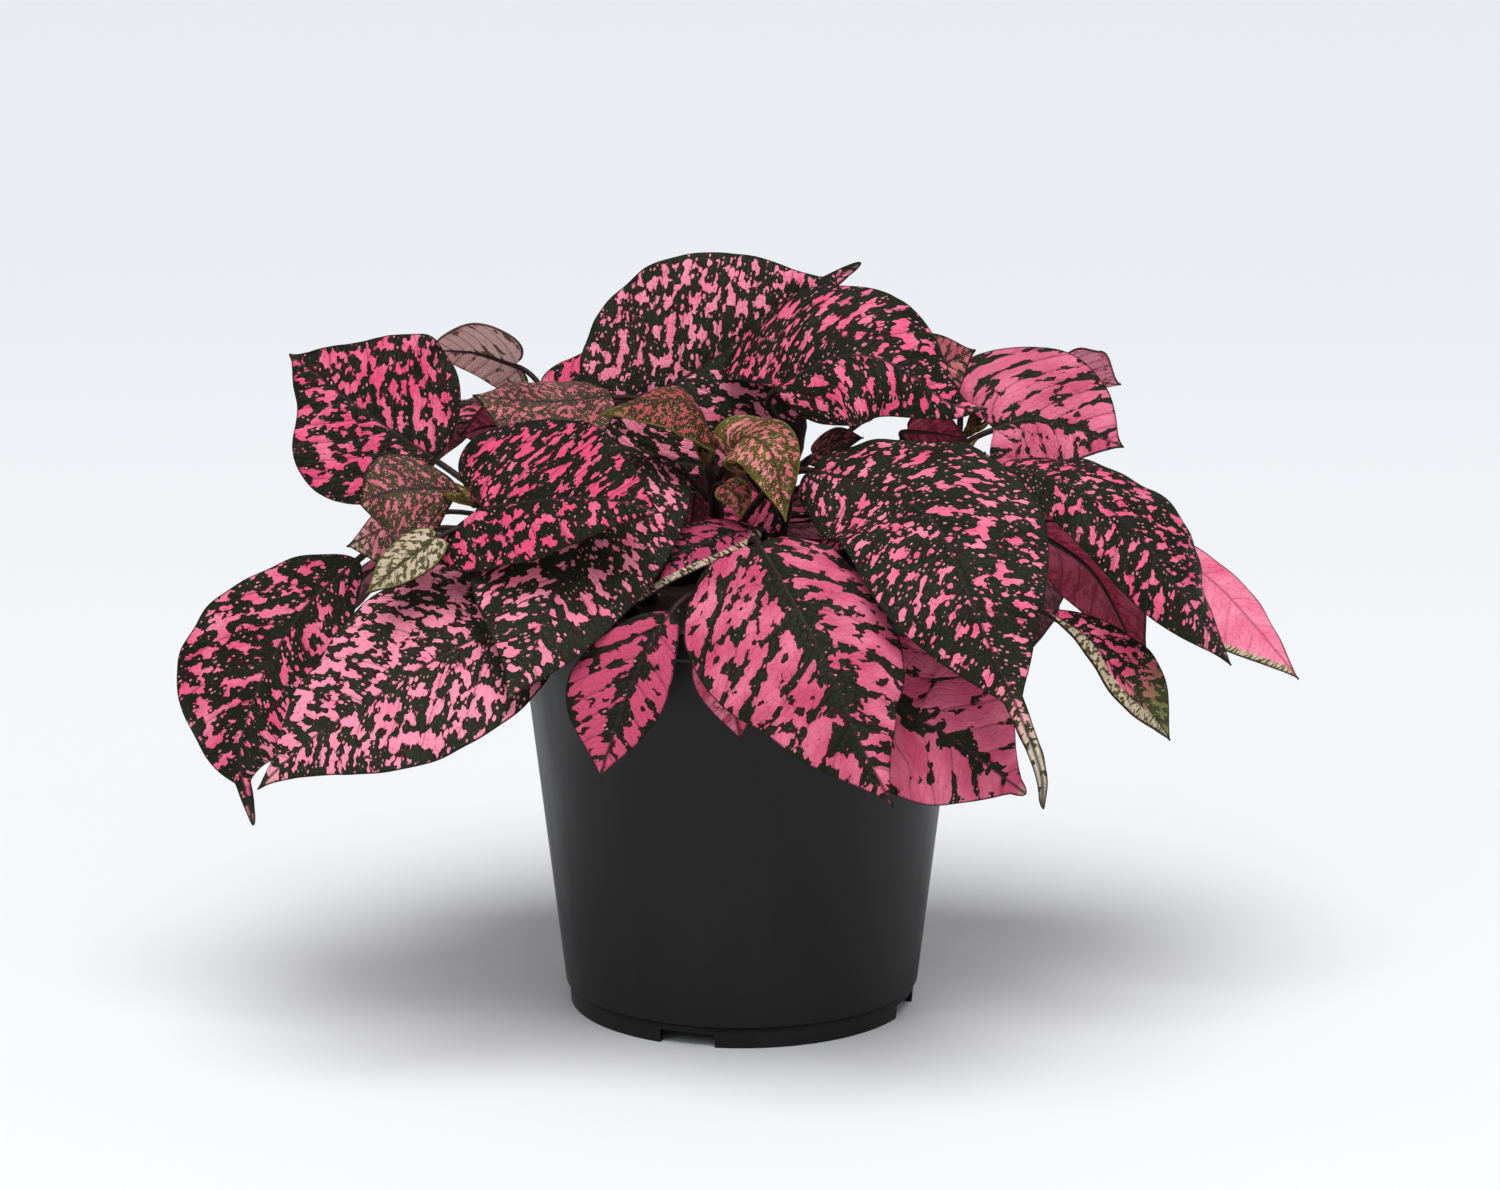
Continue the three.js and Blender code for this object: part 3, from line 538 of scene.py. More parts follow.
def blade_piece(name, leaf, number):
    """The blade: a fine grid laid on the leaf's shape, puckered, waved and given its thickness."""
    half_widths = [half[0] for half in halves(leaf)]
    width = sum(half_widths)
    rows, columns = BLADE_GRID if width > SMALL_BLADE_WIDTH else SMALL_BLADE_GRID
    if width < TINY_BLADE_WIDTH:
        rows, columns = TINY_BLADE_GRID
    bpy.ops.mesh.primitive_grid_add(x_subdivisions=columns, y_subdivisions=rows, size=1)
    blade = bpy.context.object
    blade.name = name
    mesh = blade.data
    flat = np.empty(len(mesh.vertices) * 3)
    mesh.vertices.foreach_get("co", flat)
    flat = flat.reshape(-1, 3)
    evenly = np.clip(flat[:, 1] + 0.5, 0, 1)
    u = 0.5 * evenly + 0.5 * (0.5 - 0.5 * np.cos(np.pi * evenly))
    v = np.sign(flat[:, 0]) * np.abs(2 * flat[:, 0]) ** 1.15
    v[np.abs(flat[:, 0]) < 1e-6] = 0
    place, half_width, station = blade_shape(leaf, u, v)
    length = leaf["curve"][1][-1]
    step = 1e-3
    ahead = blade_shape(leaf, np.minimum(u + step, 1), v)[0]
    ahead = ahead - blade_shape(leaf, np.maximum(u - step, 0), v)[0]
    aside = blade_shape(leaf, u, np.minimum(v + step, 1))[0]
    aside = aside - blade_shape(leaf, u, np.maximum(v - step, -1))[0]
    out = unit(np.cross(aside, ahead))
    size = width / ORDINARY_WIDTH
    spacing = length / VEIN_PAIRS
    distance = np.abs(v) * half_width
    vein = (u * length - VEIN_RISE * distance - VEIN_BOW * distance**2) / spacing
    cushion = np.sqrt(np.abs(np.sin(np.pi * vein))) - 0.6
    inner = 1 - np.exp(-((distance / RIB_CLEAR) ** 2))
    rise = PUCKER * size * cushion * inner * (1 - 0.6 * v**2)
    rise -= RIB_GROOVE * size * np.exp(-((distance / GROOVE_WIDTH) ** 2)) * (1 - u)
    side = np.sign(v)
    long_wave, short_wave = WAVE_LENGTHS
    wave = np.sin(math.tau * u * length / long_wave + number * 1.7 + side * 1.1)
    wave += 0.6 * np.sin(math.tau * u * length / short_wave + number * 2.9 - side)
    rise += leaf["wave"] * MARGIN_WAVE * size * wave * np.abs(v) ** 3 * np.sin(np.pi * u) ** 0.5
    place = place + out * rise[:, None]
    mesh.vertices.foreach_set("co", (place * MM).ravel())
    stations = np.linspace(0, 1, 201)
    slope = np.gradient(blade_share(stations, leaf["widest"]), 1 / 200)
    lean = np.interp(u, stations, slope) * max(half_widths) / length
    margin = half_width * (1 - np.abs(v)) / np.sqrt(1 + np.minimum(lean**2, 9))
    margin = np.minimum(margin, (1 - u) * length * 0.7 + 0.1)
    tip = np.clip((u - 1 + leaf["tip"]) / leaf["tip"], 0, 1)
    for label, values in {
        "blade": (v * half_width, vein * spacing, margin),
        "habit": (number, leaf["pink"], tip),
        # growth also carries the leaf's tone, which is its painted light level.
        "growth": (spacing, leaf["tone"], station),
    }.items():
        attribute = mesh.attributes.new(label, "FLOAT_VECTOR", "POINT")
        values = np.stack([np.broadcast_to(value, len(u)) for value in values], axis=1)
        attribute.data.foreach_set("vector", values.astype(np.float32).ravel())
    only(blade)
    skin = blade.modifiers.new("thickness", "SOLIDIFY")
    skin.thickness = BLADE_THICKNESS * MM
    skin.offset = 0
    skin.material_offset = 1
    skin.material_offset_rim = 1
    for side in ("upper", "under"):
        mesh.materials.append(leaf[side])
    bpy.ops.object.modifier_apply(modifier=skin.name)
    bpy.ops.object.shade_smooth_by_angle(angle=SOFT_EDGE)
    return blade


def stalk_piece(name, leaf):
    """The stalk from the stem to the blade, and the midrib that it becomes underneath."""
    start = along_curve(stem_curves[leaf["stem"]], leaf["at"])
    shares = np.linspace(0, RIB_END, 16)
    rib, along, _, up = rib_frame(leaf, shares)
    thick = STALK_RADIUS * min(1, 0.55 + leaf["curve"][1][-1] / 120)
    rib_radii = thick * (1 - RIB_TAPER * shares / RIB_END)
    rib = rib - up * (rib_radii * 0.85)[:, None]
    reach = np.linalg.norm(rib[0] - start)
    bend = rib[0] - along[0] * STALK_BEND * reach
    t = np.linspace(min(0.5, STALK_START / reach), 1, 12)[:-1, None]
    stalk = (1 - t) ** 2 * start + 2 * t * (1 - t) * bend + t**2 * rib[0]
    radii = np.concatenate([thick * (1.15 - 0.15 * t[:, 0]), rib_radii])
    return round_rod(name, np.vstack([stalk, rib]), radii, STALK_SIDES, leaf_stalk)


leaf_numbers = count(1)


def grow_leaf(name, **own):
    """One leaf's blade and stalk, joined as the single piece that they grow as. The leaf's
    number sets where its own waves and spots fall."""
    leaf = dict(PLAIN_LEAF, curve=smooth_curve(own["rib"]), **own)
    stalk = stalk_piece("stalk", leaf)
    blade = blade_piece("leaf_" + name + "_spotted", leaf, next(leaf_numbers))
    join_to(blade, [stalk])
    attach(blade, "root")
    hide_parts("leaf_" + name)


def new_group(name, inputs, outputs):
    """An empty node group with named sockets: its tree, what it is given and its end node."""
    group = bpy.data.node_groups.new(name, "ShaderNodeTree")
    for label, kind in inputs.items():
        group.interface.new_socket(name=label, in_out="INPUT", socket_type="NodeSocket" + kind)
    for label in outputs:
        group.interface.new_socket(name=label, in_out="OUTPUT", socket_type="NodeSocketFloat")
    return group, group.nodes.new("NodeGroupInput").outputs, group.nodes.new("NodeGroupOutput")


def cells_at(vector, scale, feature="F1"):
    sockets = {"Vector": vector, "Scale": scale}
    return place_node("TexVoronoi", sockets, voronoi_dimensions="2D", feature=feature).outputs


# Where the leaf's colour breaks through, and its painted light, from what each point of a blade
# carries. "blade" is its distance from the midrib, its place among the side veins and its
# distance from the margin; "habit" is the leaf's number, its share of pink and how far into
# the tip the point is; "growth" is the veins' spacing, the leaf's tone and the distance along
# it. The tone is painted light: with random patches it leans each colour from its shaded copy
# to its lit copy. Distances are in millimetres.
NEXT_LEAF = 23.7
OTHER_HALF = 61.0
BLOTCH_SHAPE = (0.9, 0.53)
RAGGEDNESS = 0.42
RIB_SHADE = (0.08, 0.55)
VEIN_SHADE = (0.01, 0.2)
MARGIN_SHADE = (0.4, 3.0)
WIDE_ENOUGH = (2.0, 10.0)
PINK_GAIN = 0.42
PINK_AT = (0.46, 0.48)
EDGE_AT = (0.395, 0.445)
MOSTLY_PINK = (0.45, 0.6)
RIB_DARKNESS = (0.08, 0.31)
VEIN_DARKNESS = (0.03, 0.17)
MARGIN_DARKNESS = 0.1

variegation, given, wanted = new_group(
    "leaf_variegation",
    {"Blade": "Vector", "Habit": "Vector", "Growth": "Vector", "Blotch Size": "Float",
     "Dot Share": "Float", "Paler Tip": "Float"},
    ("Pink", "Edge", "Dots", "Veins", "Relief", "Cloud"),
)
blade, habit, growth = (parts(given[label]) for label in ("Blade", "Habit", "Growth"))
from_rib = maths("ABSOLUTE", blade["X"])
row = maths("PINGPONG", maths("DIVIDE", blade["Y"], growth["X"]), 0.5)
from_vein = times(row, times(growth["X"], VEIN_RISE))
half_shift = times(maths("SIGN", blade["X"]), OTHER_HALF)
shift = plus(times(habit["X"], NEXT_LEAF), half_shift)
forward = minus(growth["Z"], times(from_rib, VEIN_LEAN))
outward = plus(from_rib, times(growth["Z"], VEIN_LEAN))
across = plus(times(forward, BLOTCH_SHAPE[0]), shift)
outward = plus(times(outward, BLOTCH_SHAPE[1]), shift)
flat = place_node("CombineXYZ", {"X": across, "Y": outward}).outputs[0]
per_blotch = maths("DIVIDE", 1.0, given["Blotch Size"])
scaled = place_node("VectorMath", {0: flat, "Scale": per_blotch}, operation="SCALE").outputs[0]
jitter = noise_at(scaled, 2.2, 1.0, 0.5, "2D", "Color")
jitter = place_node("VectorMath", {0: jitter, 1: (0.5,) * 3}, operation="SUBTRACT").outputs[0]
jitter = place_node("VectorMath", {0: jitter, "Scale": RAGGEDNESS}, operation="SCALE").outputs[0]
warped = place_node("VectorMath", {0: scaled, 1: jitter}, operation="ADD").outputs[0]
stepped = mixed(0.5, warped, cells_at(warped, 2.5)["Position"], "VECTOR")
blotches = noise_at(stepped, 1.0, 1.0, 0.5, "2D")
mostly_pink = ramp(habit["Y"], *MOSTLY_PINK)
near_rib = ramp(maths("DIVIDE", from_rib, growth["X"]), *RIB_SHADE, 1, 0, True)
near_vein = ramp(maths("DIVIDE", from_vein, growth["X"]), *VEIN_SHADE, 1, 0, True)
near_margin = ramp(blade["Z"], *MARGIN_SHADE, 1, 0, True)
broad = ramp(plus(from_rib, blade["Z"]), *WIDE_ENOUGH, 0.2, 1)
level = plus(blotches, times(minus(habit["Y"], 0.5), PINK_GAIN))
for near, darkness in (
    (near_rib, ramp(mostly_pink, 0, 1, *RIB_DARKNESS)),
    (near_vein, ramp(mostly_pink, 0, 1, *VEIN_DARKNESS)),
    (near_margin, MARGIN_DARKNESS),
):
    level = minus(level, times(times(near, broad), darkness))
level = plus(level, times(habit["Z"], given["Paler Tip"]))


def round_dots(vector, scale, few, largest, soft):
    """Round dots of mixed sizes, one in each cell whose own draw lies above few."""
    cells = cells_at(vector, scale)
    draw = place_node("SeparateColor", {0: cells["Color"]}).outputs[0]
    radius = ramp(draw, few, 1.0, 0.0, largest)
    return ramp(minus(cells["Distance"], radius), 0.04, soft)


round_spots = round_dots(scaled, 1.35, 0.7, ramp(mostly_pink, 0, 1, 0.27, 0.08), -0.02)
rib_line = ramp(from_rib, 0.2, 0.6, 1, 0)
vein_line = times(ramp(from_vein, 0.05, 0.3, 1, 0), 0.6)
net = cells_at(flat, 0.55, "DISTANCE_TO_EDGE")["Distance"]
# Random soft patches of painted light and shade across the blade.
painted_light = noise_at(flat, 0.12, 3, 0.5, "2D")
fine = noise_at(flat, 4.0, 2, 0.6, "2D")
relief = plus(ramp(net, 0.0, 0.12, 0, 0.6), times(fine, 0.5))
feed(
    wanted,
    Pink=maths("MAXIMUM", ramp(level, *PINK_AT), round_spots),
    Edge=ramp(level, *EDGE_AT),
    Dots=round_dots(scaled, 2.6, minus(1.0, given["Dot Share"]), 0.3, -0.04),
    Veins=maths("MAXIMUM", rib_line, vein_line),
    Relief=minus(relief, times(ramp(from_vein, 0.1, 0.7, 1, 0), 0.8)),
    # Painted light: the random patches plus the leaf's tone.
    Cloud=plus(painted_light, minus(growth["Y"], 0.5)),
)

DULL = 0.09


def leaf_face(
    name, colours, blotch, dots, roughness=0.42, relief=0.00022, strip=(1, 0), end=(1, 0)
):
    """One face of a leaf: its spots, veins, margin and tip, and the strip on one margin, if any.

    The blotches' size is in millimetres, and dots is the share of small cells that hold one.
    The strip is given by its side and width; the end by how soon its colour is reached and how
    far the pink gains there."""
    material, shader = new_material(name, DULL)
    blade, habit, growth = (
        place_node("Attribute", tree=shader.id_data, attribute_name=label).outputs["Vector"]
        for label in ("blade", "habit", "growth")
    )
    sockets = {
        "Blade": blade, "Habit": habit, "Growth": growth, "Blotch Size": blotch, "Dot Share": dots,
        "Paler Tip": end[1],
    }
    spots = place_node("Group", sockets, node_tree=variegation).outputs
    tip = ramp(parts(habit)["Z"], 0.0, end[0])
    blade = parts(blade)
    # Painted light and shade: this mask mixes each colour from its shaded copy to its lit copy.
    painted_light = ramp(spots["Cloud"], 0.2, 0.8)
    green = mixed(painted_light, colours["green"], colours["green_lit"])
    green = mixed(spots["Edge"], green, colours["edge"])
    green = mixed(tip, green, colours["tip"])
    pink = mixed(painted_light, colours["pink"], colours["pink_lit"])
    pink = mixed(tip, pink, colours["tip_pale"])
    strip_side, strip_width = strip
    if strip_width:
        side = ramp(times(blade["X"], float(strip_side)), 0.0, 0.4)
        along = ramp(blade["Z"], strip_width + 0.3, strip_width - 0.3)
        pale = times(side, along)
        slanting = minus(blade["Y"], times(blade["Z"], 0.9))
        drawn = place_node("CombineXYZ", {"X": slanting, "Y": times(blade["Z"], 0.4)})
        braid = ramp(noise_at(drawn.outputs[0], 1.3, 1.0, 0.5, "2D"), 0.53, 0.57)
        strip_colour = mixed(braid, colours["strip"], colours["strip_mark"])
        pink = mixed(pale, pink, strip_colour)
        green = mixed(times(pale, 0.85), green, strip_colour)
    face = mixed(spots["Pink"], green, pink)
    dotted = times(spots["Dots"], ramp(spots["Pink"], 0, 1, 0.9, 0))
    face = mixed(dotted, face, mixed(tip, colours["dot"], colours["tip_pale"]))
    freckles = times(spots["Dots"], ramp(spots["Pink"], 0, 1, 0, 0.35))
    face = mixed(freckles, face, colours["edge"])
    face = mixed(times(spots["Veins"], 0.8), face, colours["vein"])
    rim = ramp(blade["Z"], 0.12, 0.5, 0.95, 0)
    gloss = plus(painted_light, spots["Pink"])
    feed(
        shader,
        Base_Color=mixed(rim, face, colours["margin"]),
        Roughness=ramp(gloss, 0, 2, roughness - 0.05, roughness + 0.06),
        Normal=bumped(spots["Relief"], relief),
    )
    return material


# Each leaf colour has a shaded copy and a lit copy (_lit): painted shade and painted light.
UPPER_COLOURS = dict(
    green=(0.0075, 0.0105, 0.0052), green_lit=(0.02, 0.025, 0.013), edge=(0.034, 0.007, 0.009),
    pink=(0.8, 0.085, 0.2), pink_lit=(1.0, 0.3, 0.44), dot=(0.8, 0.25, 0.32),
    vein=(0.03, 0.02, 0.022), margin=(0.009, 0.01, 0.006), tip=(0.045, 0.06, 0.018),
    tip_pale=(0.55, 0.4, 0.26),
)
UNDER_COLOURS = dict(
    green=(0.16, 0.045, 0.06), green_lit=(0.21, 0.065, 0.08), edge=(0.13, 0.03, 0.045),
    pink=(0.42, 0.1, 0.16), pink_lit=(0.52, 0.17, 0.23), dot=(0.5, 0.2, 0.25),
    vein=(0.09, 0.02, 0.03), margin=(0.04, 0.015, 0.012), tip=(0.12, 0.1, 0.04),
    tip_pale=(0.3, 0.2, 0.13),
)
upper_face = leaf_face("leaf_upper_face", UPPER_COLOURS, 2.8, 0.35)
under_face = leaf_face("leaf_under_face", UNDER_COLOURS, 2.6, 0.25, roughness=0.55, relief=0.0003)

STALK_PURPLE = (0.032, 0.009, 0.012)
STALK_GREEN = (0.018, 0.015, 0.008)
leaf_stalk, shader = new_material("leaf_stalk", SATIN)
place = object_place(shader)
patches = noise_at(place, 120, 3)
grain = noise_at(place, 1800, 2)
feed(
    shader,
    Base_Color=mixed(ramp(patches, 0.42, 0.64), STALK_PURPLE, STALK_GREEN),
    Roughness=ramp(grain, 0.3, 0.7, 0.42, 0.55),
    Normal=bumped(grain, 0.00012),
)

# tone is the leaf's painted light: a high tone leans its colours to their lit copies, a low one to
# their shaded copies.
PLAIN_LEAF = dict(
    widest=0.38, tail=(0, 0), notch=(0, 0, 0), wave=1, pink=0.42, tip=0.08, tone=0.3,
    upper=upper_face, under=under_face,
)

grow_leaf("crown_back", stem="back_left", at=0.55, face=(-0.2, -0.9, 0.35), widest=0.5,
    tail=(0.1, 5.5), rib=[(-34, 23.5, 143), (-15, 22.7, 149.5), (8, 22.7, 165), (29, 25.5, 178)],
    left=(29.5, 24, 10, -12), right=(27, 14, 0, -15), pink=0.31, tip=0.05, wave=0.7, tone=0.7)
grow_leaf("crown_front", stem="crown", at=0.93, face=(0.1, -0.5, 0.85), widest=0.29,
    rib=[(8, -2.6, 151.6), (22, -9, 160), (35, -12, 159), (49, -13, 149.5), (58, -12, 148)],
    left=(25, 31, 22, -8), right=(20, -8, -10, -40), pink=0.29, tone=0.35, wave=0.7)


# ---- Leaves of the left side
# Soft, thin blades, each grown in one piece with its stalk. They arch out over the left of
# the rim, and the lower ones hang past it.

# Mauve underside colours, made lighter as painted light: they stand in for the light that shines
# through this thin leaf from behind.
MAUVE_BACKLIT_COLOURS = dict(
    green=(0.105, 0.085, 0.045), green_lit=(0.2, 0.15, 0.095), edge=(0.34, 0.15, 0.12),
    pink=(0.94, 0.58, 0.53), pink_lit=(1.0, 0.69, 0.64), dot=(0.88, 0.62, 0.56),
    vein=(0.075, 0.038, 0.02), margin=(0.05, 0.026, 0.012), tip=(0.2, 0.15, 0.05),
    tip_pale=(0.42, 0.32, 0.18),
)
ROSY_COLOURS = dict(
    green=(0.45, 0.045, 0.1), green_lit=(0.86, 0.22, 0.36), edge=(0.36, 0.034, 0.075),
    pink=(0.62, 0.08, 0.165), pink_lit=(0.98, 0.34, 0.48), dot=(0.6, 0.14, 0.24),
    vein=(0.075, 0.014, 0.025), margin=(0.03, 0.009, 0.01), tip=(0.1, 0.09, 0.03),
    tip_pale=(0.45, 0.22, 0.22),
)
PALE_COLOURS = dict(
    UPPER_COLOURS, green=(0.045, 0.038, 0.018), green_lit=(0.105, 0.082, 0.044),
    edge=(0.085, 0.03, 0.025), pink=(0.52, 0.11, 0.14), pink_lit=(0.78, 0.28, 0.32),
    tip=(0.1, 0.095, 0.03), tip_pale=(0.62, 0.46, 0.32),
)
mauve_backlit_under = leaf_face("mauve_backlit_under_face", MAUVE_BACKLIT_COLOURS, 3.0, 0.1, roughness=0.5, relief=0.0003)
rosy_under = leaf_face("rosy_under_face", ROSY_COLOURS, 3.2, 0.1, roughness=0.5, relief=0.0003)
small_spots = leaf_face("leaf_with_small_spots", PALE_COLOURS, 1.5, 0.6, relief=0.0002)

grow_leaf("top_left", stem="left", at=0.85, face=(0.1, -0.85, 0.5), widest=0.42,
    notch=(-1, 0.78, 0.22), rib=[(-73, -6, 135), (-84, -4, 142), (-93, -2, 148), (-108, 2, 159)],
    left=(23, 3, 8, -10), right=(25, 3, 8, -10), pink=0.375, tip=0.05, wave=1.4)
# Painted light from behind: light mauve colours and a high tone.
grow_leaf("top_left_under", stem="back_left", at=0.85, face=(-0.1, 0.75, 0.65),
    rib=[(-56, 38, 151), (-67, 42, 153.5), (-79, 45, 153.5)], both=(12, 8, 10, -10), pink=1.0,
    tip=0.05, under=mauve_backlit_under, tone=0.9)
grow_leaf("left_behind_crown", stem="back_left", at=0.96, face=(0, -0.7, 0.7),
    rib=[(-47, 37, 143.5), (-38, 41, 146), (-26, 45, 149), (-12, 47, 148)], both=(9, 6, 10, -10),
    pink=0.7, tip=0.1)
grow_leaf("left_mid_top", stem="crown", at=0.66, face=(0.1, -0.4, 0.9), widest=0.5,
    rib=[(-31, 2, 149), (-48, -2, 148), (-64, -4, 150)], left=(19, 3, 0, -25),
    right=(14, 3, 5, -30), pink=0.29, tip=0.12, upper=small_spots)
grow_leaf("left_mid_over", stem="left", at=0.9, face=(0.1, -0.5, 0.85),
    rib=[(-60, -36, 129), (-46, -43, 132), (-32, -52, 134), (-18, -58, 132)], left=(23, 24, 25, 20),
    right=(19, 24, -5, -35), pink=0.31, tip=0.06, tone=0.2)
grow_leaf("front_left_mid", stem="center", at=0.8, face=(-0.1, -0.8, 0.6), widest=0.48,
    rib=[(-22, -17, 137), (-30, -31, 131), (-40, -48, 117), (-47, -61, 101), (-53, -66, 90)],
    left=(20, 24, 5, -15), right=(24.5, 16, 8, -15), pink=0.28, tip=0.06, tone=0.7)
grow_leaf("left_outer", stem="left", at=0.7, face=(-0.2, -0.85, 0.45), widest=0.58, tail=(0.12, 5),
    rib=[(-92, -8, 111), (-105, -12, 99), (-115, -15, 82), (-120, -16, 65), (-117.5, -14, 47)],
    left=(19, 13, 10, -15), right=(23.5, 6, 5, -15), pink=0.31, tip=0.12, tone=0.4)
grow_leaf("left_front_low", stem="front_left", at=0.9, face=(-0.3, -0.75, 0.6),
    rib=[(-50, -42, 105), (-67, -50, 98), (-84, -54, 88), (-98, -56, 79), (-111, -56, 67)],
    left=(24, 10, 10, -15), right=(25.5, 30, 10, -15), pink=0.41, tip=0.09, tone=0.85)
grow_leaf("left_gap_under", stem="back_left", at=0.76, face=(-0.1, 0.75, 0.65),
    rib=[(-52, 8, 139), (-60, 7, 141), (-68, 4, 139)], both=(10, 3, 10, -10), pink=0.6, tip=0.1,
    under=rosy_under)


# ---- Leaves of the right side
# Blades of the same kind, arching out over the right of the rim. Some turn their plain
# undersides to the front, and some have a pale edge or end where they curl or wither.

ROSE_COLOURS = dict(
    UPPER_COLOURS, green=(0.01, 0.0125, 0.0055), green_lit=(0.024, 0.028, 0.013),
    pink=(0.58, 0.074, 0.165), pink_lit=(0.92, 0.25, 0.38),
)
STRIPED_COLOURS = dict(
    UPPER_COLOURS, strip=(0.58, 0.49, 0.34), strip_mark=(0.1, 0.085, 0.03),
    tip=(0.055, 0.07, 0.022), tip_pale=(0.2, 0.2, 0.075),
)
WITHERED_COLOURS = dict(UPPER_COLOURS, tip=(0.085, 0.078, 0.03), tip_pale=(0.66, 0.56, 0.42))
EDGED_COLOURS = dict(STRIPED_COLOURS, vein=(0.52, 0.1, 0.17))
edged_face = leaf_face(
    "leaf_with_pale_edge", EDGED_COLOURS, 2.2, 0.3, roughness=0.45, strip=(1, 1.7)
)
two_toned_face = leaf_face(
    "leaf_with_olive_end", STRIPED_COLOURS, 2.2, 0.3, roughness=0.45, strip=(1, 4.0), end=(0.6, 0)
)
withered_face = leaf_face("leaf_with_withered_tip", WITHERED_COLOURS, 2.8, 0.35, end=(0.5, 0.34))
rose_face = leaf_face("mostly_pink_leaf_face", ROSE_COLOURS, 2.9, 0.12)

grow_leaf("right_back_upper", stem="back_right", at=0.82, face=(0, -0.5, 0.85), widest=0.32,
    rib=[(62, 26, 137), (71, 28, 139), (82, 24, 137), (93, 16, 134)], left=(22, 12, 20, 10),
    right=(22, 12, 0, -30), pink=0.76, tip=0.05, upper=rose_face, tone=0.4)
grow_leaf("right_back_under", stem="back_right", at=0.92, face=(0.2, 0.7, 0.6),
    rib=[(68, 49, 141), (83, 61, 143.5), (97, 69, 141)], both=(17, 3, 10, -10), pink=0.8, tip=0.05,
    under=rosy_under, tone=0.9)
grow_leaf("right_top_small", stem="crown", at=0.8, face=(0, -0.8, 0.6),
    rib=[(40, 23, 147), (48, 23, 152.5), (57, 22, 157)], both=(11, 3, 10, -10), pink=0.6, tip=0.1,
    upper=small_spots)
grow_leaf("right_mid", stem="right", at=0.9, face=(0.35, -0.55, 0.75), widest=0.53,
    rib=[(63, 6, 131), (79, -4, 128), (93, -12, 119), (104, -16, 105), (117, -12, 86)],
    left=(18, 16, 5, -20), right=(13.5, 10, 0, -45), pink=0.25, tip=0.05, tone=0.4)
grow_leaf("front_right", stem="center", at=0.62, face=(-0.1, -0.75, 0.65), widest=0.55,
    tail=(0.2, 4.6),
    rib=[(17, -20, 135), (31, -34, 133), (44, -50, 128), (53, -68, 110), (66, -76, 80),
         (68, -73, 67)],
    left=(23, 20, 5, -12), right=(22, 27, 16, -18), pink=0.22, tip=0.27, upper=withered_face,
    tone=0.5)
grow_leaf("right_under", stem="right", at=0.75, face=(0.6, 0.55, 0.5),
    rib=[(70, 2, 117), (84, 4, 107), (92, 5, 94), (98, 4, 79)], left=(19, 3, 10, -10),
    right=(15, 3, 10, -10), pink=0.6, tip=0.1, under=rosy_under, tone=0.05)
grow_leaf("right_low_tail", stem="right", at=0.65, face=(0.2, -0.3, 0.95), widest=0.64,
    rib=[(72, -13, 100), (82, -17, 94), (89, -19, 86), (96, -20, 78), (102, -20, 69.5)],
    left=(13, 8, 10, 20), right=(8.5, 3, 10, -10), tip=0.45, upper=two_toned_face)
grow_leaf("right_outer", stem="back_right", at=0.7, face=(0.35, -0.85, 0.4), widest=0.55,
    rib=[(92, 26, 115), (114, 22, 101), (125, 16, 90.5), (136, 7, 78)], left=(6, 3, 5, -20),
    right=(14, 3, 10, -10), pink=2.2, upper=edged_face, tone=0.6)
grow_leaf("right_gap_under", stem="right", at=0.97, face=(0, 0.75, 0.65),
    rib=[(40, 6, 140), (47, 8, 139), (54, 9, 137.5)], both=(8, 3, 10, -10), pink=0.5, tip=0.1,
    under=rosy_under, tone=0.1)
grow_leaf("gap_brown", stem="crown", at=0.6, face=(0, -0.5, 0.85),
    rib=[(17, -4, 136), (23, -7, 139.5), (29, -8, 140.5)], both=(6, 3, 10, -10), pink=0.3, tip=0.1,
    upper=small_spots, tone=0.2)


# ---- Leaves over the front of the rim
# Older leaves low on the plant, mostly pink with dark veins. They have grown heavy, and hang
# down in front of the pot.

grow_leaf("front_center", stem="front", at=0.82, face=(-0.25, -0.85, 0.45),
    rib=[(4, -46.5, 122.5), (12.5, -62, 111), (21, -74, 97), (26, -80, 85), (34, -84, 70)],
    left=(20.5, 4, -8, -55), right=(27, 9, 14, 0), pink=0.68, tip=0.05, upper=rose_face, tone=0.35)
grow_leaf("front_right_low", stem="front", at=0.85, face=(0.1, -0.9, 0.4), widest=0.5, tail=(0, 9),
    rib=[(30, -56, 103), (37, -61, 87), (46, -63, 82), (65, -60, 67)], left=(20, 3, 8, -12),
    right=(18, 3, 8, -12), pink=0.95, tip=0.05, upper=rose_face, tone=0.35)
grow_leaf("front_left_small", stem="front", at=0.76, face=(-0.1, -0.9, 0.4), widest=0.52,
    rib=[(-16, -55.5, 108.5), (-21, -59.5, 101.5), (-27, -63, 88), (-32, -66.5, 72.3)],
    left=(9, 6, 8, -10), right=(14, -2, 12, -10), pink=0.74, tip=0.06, upper=rose_face, tone=0.1)
grow_leaf("under_center", stem="front", at=0.62, face=(-0.2, -0.9, 0.4),
    rib=[(-6, -60.5, 102.5), (-2.5, -63, 92), (0, -62.5, 80)], both=(7.5, 3, 12, -10), pink=0.8,
    tip=0.06, under=rosy_under, upper=rosy_under)


# ---- Young leaves of the shoot tips
# Small leaves that have just unfolded, olive green with pale pink freckles, and the pale
# ends of two leaves below them.

YOUNG_COLOURS = dict(
    green=(0.04, 0.029, 0.009), green_lit=(0.15, 0.135, 0.027), edge=(0.07, 0.022, 0.012),
    pink=(0.46, 0.085, 0.09), pink_lit=(0.9, 0.32, 0.32), dot=(0.62, 0.33, 0.22),
    vein=(0.045, 0.03, 0.014), margin=(0.15, 0.135, 0.03), tip=(0.14, 0.15, 0.028),
    tip_pale=(0.5, 0.38, 0.14),
)
